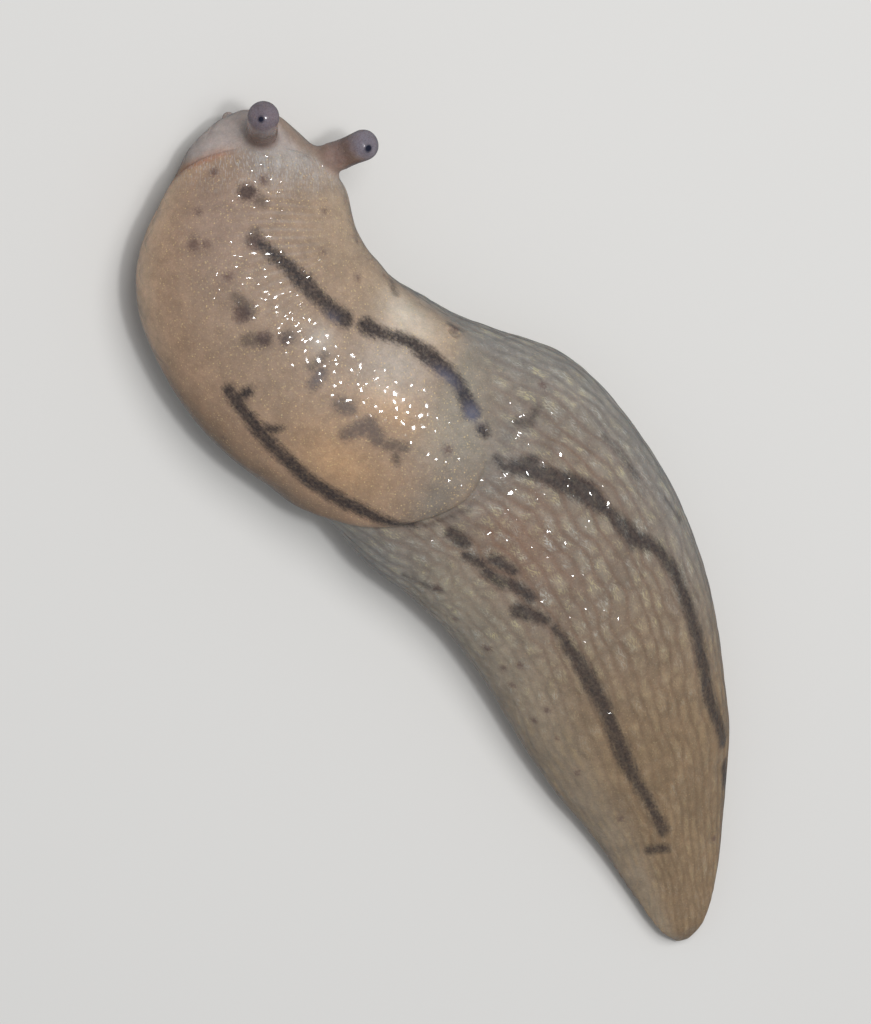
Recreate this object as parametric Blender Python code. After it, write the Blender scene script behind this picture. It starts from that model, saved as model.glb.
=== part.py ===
"""Three-band slug, life size, at rest on its sole with the body bent in an S.

The head points towards +Y and the back towards +Z. The sole lies on z = 0, and the origin is in the
middle of the footprint. Lengths in this file are millimetres until MM turns a finished point into metres.
"""

import math

import bmesh
import bpy
import numpy as np
from mathutils import Vector

MM = 0.001

# Cuts between neighbouring pieces
CUT = 0.3
EYE_CUT = 0.1

# Middle line of the body seen from above, from the tip of the snout to the tip of the tail
SPINE = (
    (-6.95, 16.0),
    (-6.85, 13.5),
    (-7.1, 11.2),
    (-6.95, 9.5),
    (-6.3, 8.0),
    (-5.4, 6.7),
    (-3.1, 4.8),
    (-0.4, 3.1),
    (2.4, 1.4),
    (4.5, -1.0),
    (6.0, -3.7),
    (7.15, -6.6),
    (8.3, -9.8),
    (9.25, -12.9),
    (10.2, -17.4),
)

# Shape of the body above the foot, by distance along the spine:
# distance, reach to the left, reach to the right, height of the back, level of the widest point, squareness
BODY = (
    (0.0, 0.5, 0.45, 2.15, 1.75, 2.0),
    (0.4, 1.25, 1.0, 2.6, 1.75, 2.0),
    (0.8, 1.75, 1.45, 2.9, 1.7, 2.0),
    (1.6, 2.5, 2.3, 3.3, 1.7, 2.1),
    (2.4, 2.9, 3.0, 3.65, 1.7, 2.1),
    (4.0, 3.4, 3.7, 4.3, 1.8, 2.1),
    (5.6, 4.2, 4.15, 4.8, 2.0, 2.1),
    (8.0, 4.4, 4.4, 5.3, 2.1, 2.1),
    (10.4, 4.4, 4.55, 5.6, 2.2, 2.1),
    (12.8, 4.35, 4.75, 5.8, 2.2, 2.1),
    (14.4, 4.5, 4.85, 5.9, 2.2, 2.1),
    (16.0, 5.1, 5.1, 5.9, 2.2, 2.1),
    (18.4, 5.45, 5.55, 5.8, 2.1, 2.2),
    (20.8, 5.4, 5.4, 5.6, 2.0, 2.2),
    (24.0, 5.05, 5.1, 5.3, 1.9, 2.2),
    (27.2, 4.6, 4.65, 4.8, 1.7, 2.2),
    (30.4, 4.0, 4.0, 4.1, 1.5, 2.1),
    (32.0, 3.55, 3.6, 3.6, 1.4, 2.0),
    (33.6, 2.95, 3.0, 3.0, 1.25, 1.9),
    (35.2, 2.35, 2.4, 2.4, 1.15, 1.8),
    (36.8, 1.75, 1.85, 1.8, 1.05, 1.8),
    (38.4, 1.1, 1.15, 1.3, 0.95, 1.8),
    (39.4, 0.5, 0.5, 1.0, 0.9, 1.8),
)
BODY_ENDS = (0.0, 39.4)
FLANK_TUCK = 0.14

# Underside of the snout, which is lifted clear of the foot: distance, level
CHIN = (
    (0.0, 1.5),
    (0.7, 1.35),
    (1.4, 1.0),
    (2.0, 0.8),
    (3.0, 0.8),
    (40.0, 0.8),
)

# How far ahead and behind the direction of the spine is taken, so that its bends stay even
SPINE_REACH = 2.0

# Where the body is parted into lengths
BODY_CUTS = (4.6, 12.4, 20.4, 29.2)
BODY_NAMES = ("head", "torso_front", "torso_middle", "torso_rear", "tail")

# Foot: a flat sole with a rounded fringe that stands a little outside the groove above it
FOOT_ENDS = (1.2, 39.7)
FOOT_CUTS = (13.4, 26.2)
FOOT_NAMES = ("foot_front", "foot_middle", "foot_rear")
FOOT_FRONT_ROUNDING = 2.2
FOOT_REAR_ROUNDING = 3.5
FRINGE = 0.28
FOOT_SIDE = ((-0.16, 0.0), (-0.03, 0.1), (0.0, 0.25), (-0.05, 0.4), (-0.14, 0.5))

# Mantle shield: distance, angle of its left edge, angle of its right edge, from the top of the back
MANTLE_EDGES = (
    (1.5, -80.0, 85.0),
    (5.0, -95.0, 96.0),
    (9.0, -102.0, 96.0),
    (12.0, -100.0, 74.0),
    (14.5, -64.0, 62.0),
    (16.0, -38.0, 45.0),
    (17.75, -25.0, 15.0),
)
MANTLE_ENDS = (1.45, 17.75)
MANTLE_FRONT_ROUNDING = 2.1
MANTLE_REAR_ROUNDING = 2.2
MANTLE_LIFT = 0.35
MANTLE_DEPTH = 0.7
MANTLE_RIM = 5.0
MANTLE_BED_ANGLE = 4.5
MANTLE_BED_RISE = 2.0

# Breathing hole: a dent in the right rim of the mantle
PNEUMOSTOME_PLACE = (14.2, 61.0)
PNEUMOSTOME_RADII = (0.32, 0.24, 0.26)

# Upper tentacles: a straight stalk from inside the head to the middle of the bulb
UPPER_TENTACLES = {
    "left": ((-6.72, 14.5, 2.2), (-6.9, 15.8, 4.5)),
    "right": ((-5.02, 13.5, 1.5), (-3.03, 14.65, 3.9)),
}
UPPER_ROOT_RADIUS = 0.66
UPPER_STALK_RADIUS = 0.55
UPPER_BULB_RADIUS = 0.6
UPPER_ROOT_FACE = {"left": 1.05, "right": 1.6}

# Lower tentacles: short feelers under the snout
LOWER_TENTACLES = {
    "left": ((-7.6, 14.95, 1.7), (-7.75, 15.5, 0.75)),
    "right": ((-6.25, 14.95, 1.7), (-6.15, 15.5, 0.75)),
}
LOWER_ROOT_RADIUS = 0.3
LOWER_STALK_RADIUS = 0.24
LOWER_BULB_RADIUS = 0.26
LOWER_ROOT_FACE = {"left": 0.65, "right": 0.65}

# Eyes: small balls in cups near the ends of the upper tentacles, by their direction from the bulb
EYE_DIRECTIONS = {
    "left": (-0.28, -0.1, 0.95),
    "right": (0.2, -0.16, 0.97),
}
EYE_RADIUS = 0.22
EYE_SETTING = 0.44

# Lips on both sides of the mouth slit, under the tip of the snout
LIP_OFFSET = 0.4
LIP_PLACE = (-6.95, 15.3, 1.3)
LIP_RADII = (0.42, 0.45, 0.36)
MOUTH_SIZE = (0.14, 0.7, 0.9)
MOUTH_PLACE = (-6.95, 15.5, 0.95)

# Fineness of the meshes
BODY_STEP = 0.85
FOOT_STEP = 0.6
BACK_STEPS = 28
FLANK_STEPS = 4
MANTLE_STEPS = 20
TUBE_SIDES = 14
STALK_STEPS = 5
BULB_STEPS = 6
BALL_SEGMENTS = 12
BALL_RINGS = 8

# The exact solver loses the head once the stumps of the tentacles are joined to it
HEAD_SOLVER = "MANIFOLD"

COLLECTION = "three_band_slug"
CUTTERS = "cutters"

COLOURS = {
    "head": (0.42, 0.33, 0.28),
    "mantle": (0.48, 0.34, 0.22),
    "torso": (0.33, 0.27, 0.21),
    "tail": (0.33, 0.24, 0.17),
    "foot": (0.5, 0.4, 0.3),
    "tentacle": (0.25, 0.18, 0.17),
    "eye": (0.015, 0.012, 0.02),
}


def clear_scene():
    """Start from an empty scene."""
    for thing in list(bpy.data.objects):
        bpy.data.objects.remove(thing, do_unlink=True)


def new_collection(name):
    collection = bpy.data.collections.new(name)
    bpy.context.scene.collection.children.link(collection)
    return collection


def skin_material(name, colour, roughness):
    material = bpy.data.materials.new(name)
    material.use_nodes = True
    shader = material.node_tree.nodes["Principled BSDF"]
    shader.inputs["Base Color"].default_value = (*colour, 1.0)
    shader.inputs["Roughness"].default_value = roughness
    shader.inputs["Metallic"].default_value = 0.0
    material.diffuse_color = (*colour, 1.0)
    return material


def smooth_table(rows):
    """A function that reads the columns of a table at any distance, along smooth curves."""
    table = np.array(rows, dtype=float)
    keys = table[:, 0]
    values = table[:, 1:]
    slopes = np.gradient(values, keys, axis=0)

    def read(distance):
        at = min(max(distance, keys[0]), keys[-1])
        row = min(int(np.searchsorted(keys, at, side="right")) - 1, len(keys) - 2)
        span = keys[row + 1] - keys[row]
        part = (at - keys[row]) / span
        rise = part * part * (3.0 - 2.0 * part)
        leave = part * (1.0 - part) ** 2
        arrive = part * part * (part - 1.0)
        return ((1.0 - rise) * values[row] + rise * values[row + 1]
                + span * (leave * slopes[row] + arrive * slopes[row + 1]))

    return read


def spine_table():
    """The spine's x and y, by the distance along it."""
    points = np.array(SPINE)
    steps = np.linalg.norm(np.diff(points, axis=0), axis=1)
    distances = np.concatenate(([0.0], np.cumsum(steps)))
    return smooth_table(np.column_stack((distances, points)))


spine_at = spine_table()
body_at = smooth_table(BODY)
chin_at = smooth_table(CHIN)
mantle_edges_at = smooth_table(MANTLE_EDGES)


def frame_at(distance):
    """The point of the spine, the direction to the tail and the direction to the slug's right."""
    ahead = Vector(spine_at(distance + SPINE_REACH)) - Vector(spine_at(distance - SPINE_REACH))
    ahead.normalize()
    right = Vector((-ahead.y, ahead.x))
    return Vector(spine_at(distance)), ahead, right


def place(distance, lateral, height, shift=0.0):
    """A point in metres, set off from the spine to the right, upwards and back along the body."""
    origin, ahead, right = frame_at(distance)
    flat = origin + right * lateral + ahead * shift
    return Vector((flat.x, flat.y, height)) * MM


def back_point(distance, angle, lift=0.0):
    """Lateral place and height on the skin, or a lift above it, at an angle in degrees from the top.

    Beyond 90 degrees the flank tucks in towards the groove above the foot.
    """
    reach_left, reach_right, top, waist, squareness = body_at(distance)
    half_width = reach_left if angle < 0.0 else reach_right
    bottom = chin_at(distance)[0]
    side = math.copysign(1.0, angle)
    if abs(angle) <= 90.0:
        turn = math.radians(abs(angle))
        lateral = (half_width + lift) * math.sin(turn) ** (2.0 / squareness)
        height = waist + (top - waist + lift) * max(0.0, math.cos(turn)) ** (2.0 / squareness)
    else:
        turn = math.radians(abs(angle) - 90.0)
        lateral = half_width + lift - FLANK_TUCK * half_width * (1.0 - math.cos(turn))
        height = waist - (waist - bottom) * math.sin(turn)
    return side * lateral, height


def body_ring(distance, shift=0.0):
    """The body's cross-section, from below its left flank over the back."""
    angles = [-180.0 + 90.0 * k / FLANK_STEPS for k in range(FLANK_STEPS)]
    angles += [-90.0 + 180.0 * k / BACK_STEPS for k in range(BACK_STEPS + 1)]
    angles += [90.0 + 90.0 * (k + 1) / FLANK_STEPS for k in range(FLANK_STEPS)]
    return [place(distance, *back_point(distance, angle), shift) for angle in angles]


def length_rings(ring, start, end, step, cut_start, cut_end):
    """Rings from start to end, with a flat face half a cut short of a neighbour."""
    count = max(2, round((end - start) / step))
    rings = [ring(start, CUT / 2 if cut_start else 0.0)]
    rings += [ring(start + (end - start) * k / count) for k in range(1, count)]
    rings.append(ring(end, -CUT / 2 if cut_end else 0.0))
    return rings


def solid_from_rings(name, rings, collection, material):
    """A closed loft through rings of equally many points, with a flat face at each end."""
    shape = bmesh.new()
    loops = [[shape.verts.new(point) for point in ring] for ring in rings]
    count = len(loops[0])
    for first, second in zip(loops, loops[1:]):
        for k in range(count):
            after = (k + 1) % count
            shape.faces.new((first[k], first[after], second[after], second[k]))
    shape.faces.new(loops[0])
    shape.faces.new(list(reversed(loops[-1])))
    bmesh.ops.recalc_face_normals(shape, faces=shape.faces)
    mesh = bpy.data.meshes.new(name)
    shape.to_mesh(mesh)
    shape.free()
    mesh.shade_smooth()
    thing = bpy.data.objects.new(name, mesh)
    if material is not None:
        mesh.materials.append(material)
    collection.objects.link(thing)
    return thing


def end_factor(distance, ends, front, rear, power):
    """How wide a rounded outline is at a distance, from 0 at its ends to 1 in its middle."""
    start, end = ends
    if distance < start + front:
        part = (start + front - distance) / front
    elif distance > end - rear:
        part = (distance - end + rear) / rear
    else:
        return 1.0
    return max(0.0, 1.0 - part ** power) ** (1.0 / power)


def foot_ring(distance, shift=0.0):
    """The foot's cross-section, as wide as the body above it and the fringe."""
    reach_left, reach_right = body_at(min(max(distance, 1.8), BODY_ENDS[1] - 0.6))[:2]
    round_off = end_factor(distance, FOOT_ENDS, FOOT_FRONT_ROUNDING, FOOT_REAR_ROUNDING, 2.0)
    left_edge = max(0.25, (reach_left * (1.0 - FLANK_TUCK) + FRINGE) * round_off)
    right_edge = max(0.25, (reach_right * (1.0 - FLANK_TUCK) + FRINGE) * round_off)
    left = [(-(left_edge + inset), level) for inset, level in FOOT_SIDE]
    right = [(right_edge + inset, level) for inset, level in reversed(FOOT_SIDE)]
    return [place(distance, lateral, height, shift) for lateral, height in left + right]


def mantle_ring(distance, grow=0.0):
    """The shield's cross-section: thick in the middle and rounded at its two edges.

    A grown ring is the space that the shield needs in the body under it.
    """
    start, end = MANTLE_ENDS
    left, right = mantle_edges_at(distance)
    ends = (start - grow, end + grow)
    round_off = end_factor(distance, ends, MANTLE_FRONT_ROUNDING, MANTLE_REAR_ROUNDING, 2.0)
    centre = (left + right) / 2
    half = (right - left) / 2 * round_off + MANTLE_BED_ANGLE * grow / CUT
    half = max(half, 4.0)
    thin = end_factor(distance, ends, 0.5, 0.5, 2.5)
    rise = MANTLE_BED_RISE if grow else MANTLE_LIFT
    depth = MANTLE_DEPTH + grow
    level = (MANTLE_LIFT - depth) / 2
    outside = []
    inside = []
    for k in range(MANTLE_STEPS + 1):
        across = math.sin(math.pi * (k / MANTLE_STEPS - 0.5))
        angle = centre + half * across
        full = thin * max(0.0, 1.0 - abs(across) ** MANTLE_RIM) ** (1.0 / MANTLE_RIM)
        outside.append(back_point(distance, angle, level + (rise - level) * full))
        if 0 < k < MANTLE_STEPS:
            inside.append(back_point(distance, angle, level - (depth + level) * full))
    return [place(distance, lateral, height) for lateral, height in outside + inside[::-1]]


def mantle_stations(grow=0.0):
    """Distances for the shield's rings, close together where its two ends round off."""
    start = MANTLE_ENDS[0] - grow + 0.03
    end = MANTLE_ENDS[1] + grow - 0.03
    front = [start + MANTLE_FRONT_ROUNDING * (1.0 - math.cos(math.pi / 2 * k / 6)) for k in range(6)]
    rear = [end - MANTLE_REAR_ROUNDING * (1.0 - math.cos(math.pi / 2 * k / 6)) for k in range(6)]
    first = start + MANTLE_FRONT_ROUNDING
    last = end - MANTLE_REAR_ROUNDING
    count = round((last - first) / BODY_STEP)
    middle = [first + (last - first) * k / count for k in range(count + 1)]
    return front + middle + rear[::-1]


def hide_cutter(thing):
    thing.hide_render = True
    thing.display_type = "WIRE"


def surface_reach(surface):
    """Length of the diagonal of the box around a set of vertices."""
    places = [vertex.co for vertex in surface]
    low = Vector([min(place[axis] for place in places) for axis in range(3)])
    high = Vector([max(place[axis] for place in places) for axis in range(3)])
    return (high - low).length


def largest_surface(shape):
    """Delete everything in a mesh but its largest closed surface."""
    waiting = set(shape.verts)
    surfaces = []
    while waiting:
        front = [waiting.pop()]
        surface = set(front)
        while front:
            for edge in front.pop().link_edges:
                for vertex in edge.verts:
                    if vertex in waiting:
                        waiting.discard(vertex)
                        surface.add(vertex)
                        front.append(vertex)
        surfaces.append(surface)
    surfaces.sort(key=surface_reach)
    for surface in surfaces[:-1]:
        bmesh.ops.delete(shape, geom=list(surface), context="VERTS")


def settle(thing):
    """Apply a piece's Booleans, and drop the loose scraps that they leave."""
    shape = bmesh.new()
    shape.from_object(thing, bpy.context.evaluated_depsgraph_get())
    largest_surface(shape)
    thing.modifiers.clear()
    shape.to_mesh(thing.data)
    shape.free()
    thing.data.shade_smooth()


def combine(target, tool, operation, solver="EXACT"):
    """Join a tool to a piece, or cut it out of one."""
    hide_cutter(tool)
    boolean = target.modifiers.new(f"{operation.lower()}_{tool.name}", "BOOLEAN")
    boolean.operation = operation
    boolean.solver = solver
    boolean.object = tool


def tentacle(name, axis, radii, start, stop, collection, material, grow=0.0):
    """A stalk with a bulb at its end, along an axis from the root to the middle of the bulb."""
    root, bulb = Vector(axis[0]), Vector(axis[1])
    root_radius, stalk_radius, bulb_radius = radii
    reach = (bulb - root).length
    ahead = (bulb - root).normalized()
    across = ahead.cross(Vector((0.0, 0.0, 1.0))).normalized()
    above = across.cross(ahead)
    shape = smooth_table((
        (0.0, root_radius * 1.1),
        (reach * 0.45, root_radius),
        (reach * 0.7, stalk_radius),
        (reach, bulb_radius),
    ))
    last = min(stop, reach)
    stops = [start + (last - start) * k / STALK_STEPS for k in range(STALK_STEPS + 1)]
    sizes = [shape(at)[0] for at in stops]
    if stop > reach:
        rounding = [math.pi / 2 * k / BULB_STEPS for k in range(1, BULB_STEPS)]
        stops += [reach + bulb_radius * math.sin(turn) for turn in rounding]
        sizes += [bulb_radius * math.cos(turn) for turn in rounding]
    turns = [2.0 * math.pi * k / TUBE_SIDES for k in range(TUBE_SIDES)]
    spokes = [across * math.cos(turn) + above * math.sin(turn) for turn in turns]
    rings = []
    for at, size in zip(stops, sizes):
        middle = root + ahead * at
        rings.append([(middle + spoke * (size + grow)) * MM for spoke in spokes])
    return solid_from_rings(name, rings, collection, material)


def ball(name, centre, radii, collection, material):
    """A round or stretched ball, with its centre and radii in millimetres."""
    shape = bmesh.new()
    bmesh.ops.create_uvsphere(shape, u_segments=BALL_SEGMENTS, v_segments=BALL_RINGS, radius=1.0)
    bmesh.ops.scale(shape, vec=Vector(radii) * MM, verts=shape.verts)
    bmesh.ops.translate(shape, vec=Vector(centre) * MM, verts=shape.verts)
    mesh = bpy.data.meshes.new(name)
    shape.to_mesh(mesh)
    shape.free()
    mesh.shade_smooth()
    if material is not None:
        mesh.materials.append(material)
    thing = bpy.data.objects.new(name, mesh)
    collection.objects.link(thing)
    return thing


def box(name, centre, size, collection):
    """A block with square edges, with its centre and size in millimetres."""
    shape = bmesh.new()
    bmesh.ops.create_cube(shape, size=1.0)
    bmesh.ops.scale(shape, vec=Vector(size) * MM, verts=shape.verts)
    bmesh.ops.translate(shape, vec=Vector(centre) * MM, verts=shape.verts)
    mesh = bpy.data.meshes.new(name)
    shape.to_mesh(mesh)
    shape.free()
    thing = bpy.data.objects.new(name, mesh)
    collection.objects.link(thing)
    return thing


def make_body(collection, materials):
    """The head, three lengths of the trunk and the tail."""
    bounds = (BODY_ENDS[0], *BODY_CUTS, BODY_ENDS[1])
    last = len(BODY_NAMES) - 1
    lengths = {}
    for k, name in enumerate(BODY_NAMES):
        rings = length_rings(body_ring, bounds[k], bounds[k + 1], BODY_STEP, k > 0, k < last)
        kind = name.split("_")[0]
        lengths[name] = solid_from_rings(name, rings, collection, materials[kind])
    return lengths


def make_foot(collection, material):
    """The foot under the body, in three lengths."""
    bounds = (FOOT_ENDS[0] + 0.02, *FOOT_CUTS, FOOT_ENDS[1] - 0.02)
    last = len(FOOT_NAMES) - 1
    for k, name in enumerate(FOOT_NAMES):
        rings = length_rings(foot_ring, bounds[k], bounds[k + 1], FOOT_STEP, k > 0, k < last)
        solid_from_rings(name, rings, collection, material)


def make_mantle(collection, cutters, material, lengths):
    """The mantle shield with its breathing hole, let into the body below it."""
    rings = [mantle_ring(distance) for distance in mantle_stations()]
    mantle = solid_from_rings("mantle", rings, collection, material)
    bed_rings = [mantle_ring(distance, CUT) for distance in mantle_stations(CUT)]
    bed = solid_from_rings("mantle_bed", bed_rings, cutters, None)
    for name in ("head", "torso_front", "torso_middle"):
        combine(lengths[name], bed, "DIFFERENCE", HEAD_SOLVER if name == "head" else "EXACT")
    distance, angle = PNEUMOSTOME_PLACE
    centre = place(distance, *back_point(distance, angle, MANTLE_LIFT)) / MM
    hole = ball("pneumostome", centre, PNEUMOSTOME_RADII, cutters, None)
    combine(mantle, hole, "DIFFERENCE")
    return mantle


def make_tentacles(collection, cutters, materials, head, mantle):
    """The four tentacles on stumps of the head, and the eyes in cups of the upper two."""
    upper = (UPPER_ROOT_RADIUS, UPPER_STALK_RADIUS, UPPER_BULB_RADIUS)
    lower = (LOWER_ROOT_RADIUS, LOWER_STALK_RADIUS, LOWER_BULB_RADIUS)
    kinds = (
        ("upper", UPPER_TENTACLES, UPPER_ROOT_FACE, upper),
        ("lower", LOWER_TENTACLES, LOWER_ROOT_FACE, lower),
    )
    for kind, axes, faces, radii in kinds:
        for side, axis in axes.items():
            root, bulb = Vector(axis[0]), Vector(axis[1])
            reach = (bulb - root).length
            face = faces[side]
            stump = tentacle(f"stump_{kind}_{side}", axis, radii, 0.0, face - CUT / 2, cutters, None)
            combine(head, stump, "UNION", HEAD_SOLVER)
            stalk = tentacle(f"tentacle_{kind}_{side}", axis, radii, face + CUT / 2, reach + 1.0,
                             collection, materials["tentacle"])
            if kind == "upper":
                room = tentacle(f"room_{side}", axis, radii, -0.2, reach + 1.0, cutters, None, grow=CUT)
                combine(mantle, room, "DIFFERENCE")
                centre = bulb + Vector(EYE_DIRECTIONS[side]).normalized() * EYE_SETTING
                cup_radii = [EYE_RADIUS + EYE_CUT] * 3
                cup = ball(f"eye_cup_{side}", centre, cup_radii, cutters, None)
                combine(stalk, cup, "DIFFERENCE")
                ball(f"eye_{side}", centre, [EYE_RADIUS] * 3, collection, materials["eye"])


def make_mouth(cutters, head):
    """Two lips with the mouth slit between them."""
    for side in (-1.0, 1.0):
        centre = Vector(LIP_PLACE) + Vector((side * LIP_OFFSET, 0.0, 0.0))
        lip = ball(f"lip_{'left' if side < 0.0 else 'right'}", centre, LIP_RADII, cutters, None)
        combine(head, lip, "UNION", HEAD_SOLVER)
    slit = box("mouth_slit", MOUTH_PLACE, MOUTH_SIZE, cutters)
    combine(head, slit, "DIFFERENCE", HEAD_SOLVER)


def main():
    clear_scene()
    parts = new_collection(COLLECTION)
    cutters = new_collection(CUTTERS)
    materials = {kind: skin_material(kind, colour, 0.35) for kind, colour in COLOURS.items()}
    lengths = make_body(parts, materials)
    make_foot(parts, materials["foot"])
    mantle = make_mantle(parts, cutters, materials["mantle"], lengths)
    make_tentacles(parts, cutters, materials, lengths["head"], mantle)
    make_mouth(cutters, lengths["head"])
    for thing in [thing for thing in parts.objects if thing.modifiers]:
        settle(thing)
    for thing in list(cutters.objects):
        bpy.data.objects.remove(thing, do_unlink=True)


main()
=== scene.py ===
"""Looks of a three-band slug: one wet, spotted skin in place of the flesh, with its eyes, light and camera.

The skin is a fine net over the same body shape as the solids, with the mantle's rim, the back's
tubercles and the feelers raised in it. Lengths are millimetres until MM turns a finished point into
metres. A place on the skin is a distance along the spine from the snout and an angle from the top of the
back, in degrees, to the slug's right.
"""

import math

import bmesh
import bpy
import numpy as np
from mathutils import Matrix, Vector
from mathutils.kdtree import KDTree


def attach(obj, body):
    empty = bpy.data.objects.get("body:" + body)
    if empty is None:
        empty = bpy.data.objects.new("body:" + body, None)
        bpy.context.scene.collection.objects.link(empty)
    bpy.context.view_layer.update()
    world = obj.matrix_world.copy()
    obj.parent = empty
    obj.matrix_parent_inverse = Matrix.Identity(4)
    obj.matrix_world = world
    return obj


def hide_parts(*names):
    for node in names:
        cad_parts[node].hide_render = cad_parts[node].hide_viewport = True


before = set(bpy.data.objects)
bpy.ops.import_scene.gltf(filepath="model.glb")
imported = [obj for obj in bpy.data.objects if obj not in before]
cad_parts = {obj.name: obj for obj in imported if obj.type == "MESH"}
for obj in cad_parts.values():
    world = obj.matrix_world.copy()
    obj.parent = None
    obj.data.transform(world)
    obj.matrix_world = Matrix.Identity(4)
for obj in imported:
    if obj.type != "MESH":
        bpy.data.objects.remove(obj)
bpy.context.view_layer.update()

MM = 0.001

# Middle line of the body seen from above, from the tip of the snout to the tip of the tail
SPINE = (
    (-6.95, 16.0),
    (-6.85, 13.5),
    (-7.1, 11.2),
    (-6.95, 9.5),
    (-6.3, 8.0),
    (-5.4, 6.7),
    (-3.1, 4.8),
    (-0.4, 3.1),
    (2.4, 1.4),
    (4.5, -1.0),
    (6.0, -3.7),
    (7.15, -6.6),
    (8.3, -9.8),
    (9.25, -12.9),
    (10.2, -17.4),
)
LENGTH = 39.6

# How far ahead and behind the direction of the spine is taken, so that its bends stay even
SPINE_REACH = 2.0

# Shape of the body above the foot, by distance along the spine:
# distance, reach to the left, reach to the right, height of the back, level of the widest point, squareness
BODY = (
    (0.0, 0.5, 0.45, 2.15, 1.75, 2.0),
    (0.4, 1.25, 1.0, 2.6, 1.75, 2.0),
    (0.8, 1.75, 1.45, 2.9, 1.7, 2.0),
    (1.6, 2.5, 2.3, 3.3, 1.7, 2.1),
    (2.4, 2.9, 3.0, 3.65, 1.7, 2.1),
    (4.0, 3.4, 3.7, 4.3, 1.8, 2.1),
    (5.6, 4.2, 4.15, 4.8, 2.0, 2.1),
    (8.0, 4.4, 4.4, 5.3, 2.1, 2.1),
    (10.4, 4.4, 4.55, 5.6, 2.2, 2.1),
    (12.8, 4.35, 4.75, 5.8, 2.2, 2.1),
    (14.4, 4.5, 4.85, 5.9, 2.2, 2.1),
    (16.0, 5.1, 5.1, 5.9, 2.2, 2.1),
    (18.4, 5.45, 5.55, 5.8, 2.1, 2.2),
    (20.8, 5.4, 5.4, 5.6, 2.0, 2.2),
    (24.0, 5.05, 5.1, 5.3, 1.9, 2.2),
    (27.2, 4.6, 4.65, 4.8, 1.7, 2.2),
    (30.4, 4.0, 4.0, 4.1, 1.5, 2.1),
    (32.0, 3.55, 3.6, 3.6, 1.4, 2.0),
    (33.6, 2.95, 3.0, 3.0, 1.25, 1.9),
    (35.2, 2.35, 2.4, 2.4, 1.15, 1.8),
    (36.8, 1.75, 1.85, 1.8, 1.05, 1.8),
    (38.4, 1.1, 1.15, 1.3, 0.95, 1.8),
    (39.4, 0.5, 0.5, 1.0, 0.9, 1.8),
)
FLANK_TUCK = 0.14
CHIN = (
    (0.0, 1.5),
    (0.7, 1.35),
    (1.4, 1.0),
    (2.0, 0.8),
    (3.0, 0.8),
    (40.0, 0.8),
)
NOSE_ROUND = 0.5
NOSE_LEVEL = 1.75
TAIL_ROUND = 0.8

# Foot: where it starts, how its outline rounds off, and its side from the groove down to the sole
FOOT_ENDS = (1.2, 39.85)
FOOT_ROUNDINGS = (2.2, 3.5)
FRINGE = 0.28
GROOVE_DEPTH = 0.12
FOOT_SIDE = ((-0.14, 0.5), (-0.05, 0.4), (0.0, 0.25), (-0.03, 0.1), (-0.16, 0.0))
FOOT_BLEND = (1.1, 1.7)

# Mantle shield: distance, angle of its left edge, angle of its right edge
MANTLE_EDGES = (
    (1.5, -80.0, 85.0),
    (5.0, -95.0, 96.0),
    (9.0, -102.0, 96.0),
    (12.0, -100.0, 74.0),
    (14.5, -64.0, 62.0),
    (16.0, -38.0, 45.0),
    (17.75, -25.0, 15.0),
)
MANTLE_ENDS = (1.45, 17.75)
MANTLE_ROUNDINGS = (2.1, 2.2)
MANTLE_LIFT = 0.33
MANTLE_RIM = 0.5
FADED_RIM = (-0.9, 2.4)
CREASE_DEPTH = 0.08
CREASE_WIDTH = 0.12

# Breathing hole in the right rim of the mantle: place, radius, depth
PNEUMOSTOME = (14.2, 61.0)
PNEUMOSTOME_RADIUS = 0.26
PNEUMOSTOME_DEPTH = 0.24

# Upper and lower feelers: from inside the head to the middle of the bulb, and the radii at the root,
# at the foot of the stalk, at its narrowest and at the bulb
FEELERS = {
    "upper_left": ((-6.72, 14.5, 2.2), (-6.9, 15.8, 4.5), (0.68, 0.62, 0.58, 0.6)),
    "upper_right": ((-5.02, 13.5, 1.5), (-3.03, 14.65, 3.9), (0.95, 0.64, 0.56, 0.59)),
    "lower_left": ((-7.6, 14.95, 1.7), (-7.75, 15.5, 0.75), (0.33, 0.3, 0.24, 0.26)),
    "lower_right": ((-6.25, 14.95, 1.7), (-6.15, 15.5, 0.75), (0.33, 0.3, 0.24, 0.26)),
}
FEELER_RINGS = 90
FEELER_SIDES = 64
SEAM_REACH = 0.6
SEAM_ROUNDS = 90

# Eyes: direction from the middle of the bulb, distance from it and radius
EYES = {"left": (-0.28, -0.1, 0.95), "right": (0.2, -0.16, 0.97)}
EYE_SETTING = 0.375
EYE_RADIUS = 0.22
STAIN_REACH = 0.035
SHADE_REACH = 0.34

# Where along the upper feelers the tan of the head turns into the stalk's own brown
STALK_STARTS = {"left": (0.34, 0.6), "right": (0.42, 0.66)}
BULB_STARTS = {"left": (0.74, 0.98), "right": (0.88, 1.1)}
COLLARS = {"left": (0.6, 0.76, 0.09), "right": (0.6, 0.86, 0.14)}

# Lips and mouth slit under the tip of the snout
MOUTH = (-6.95, 15.85, 1.35)
LIP_OFFSET = 0.3
LIP_RADIUS = 0.26
LIP_HEIGHT = 0.14
SLIT_WIDTH = 0.09
SLIT_DEPTH = 0.2

# Net of the skin
NOSE_STEP = 0.04
BODY_STEP = 0.06
BACK_POINTS = 300
SIDE_POINTS = 18
SOLE_POINTS = 22

# Tubercles of the back: length, width and height
TUBERCLE_LENGTH = 1.05
TUBERCLE_WIDTH = 0.56
TUBERCLE_HEIGHT = 0.027

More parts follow.
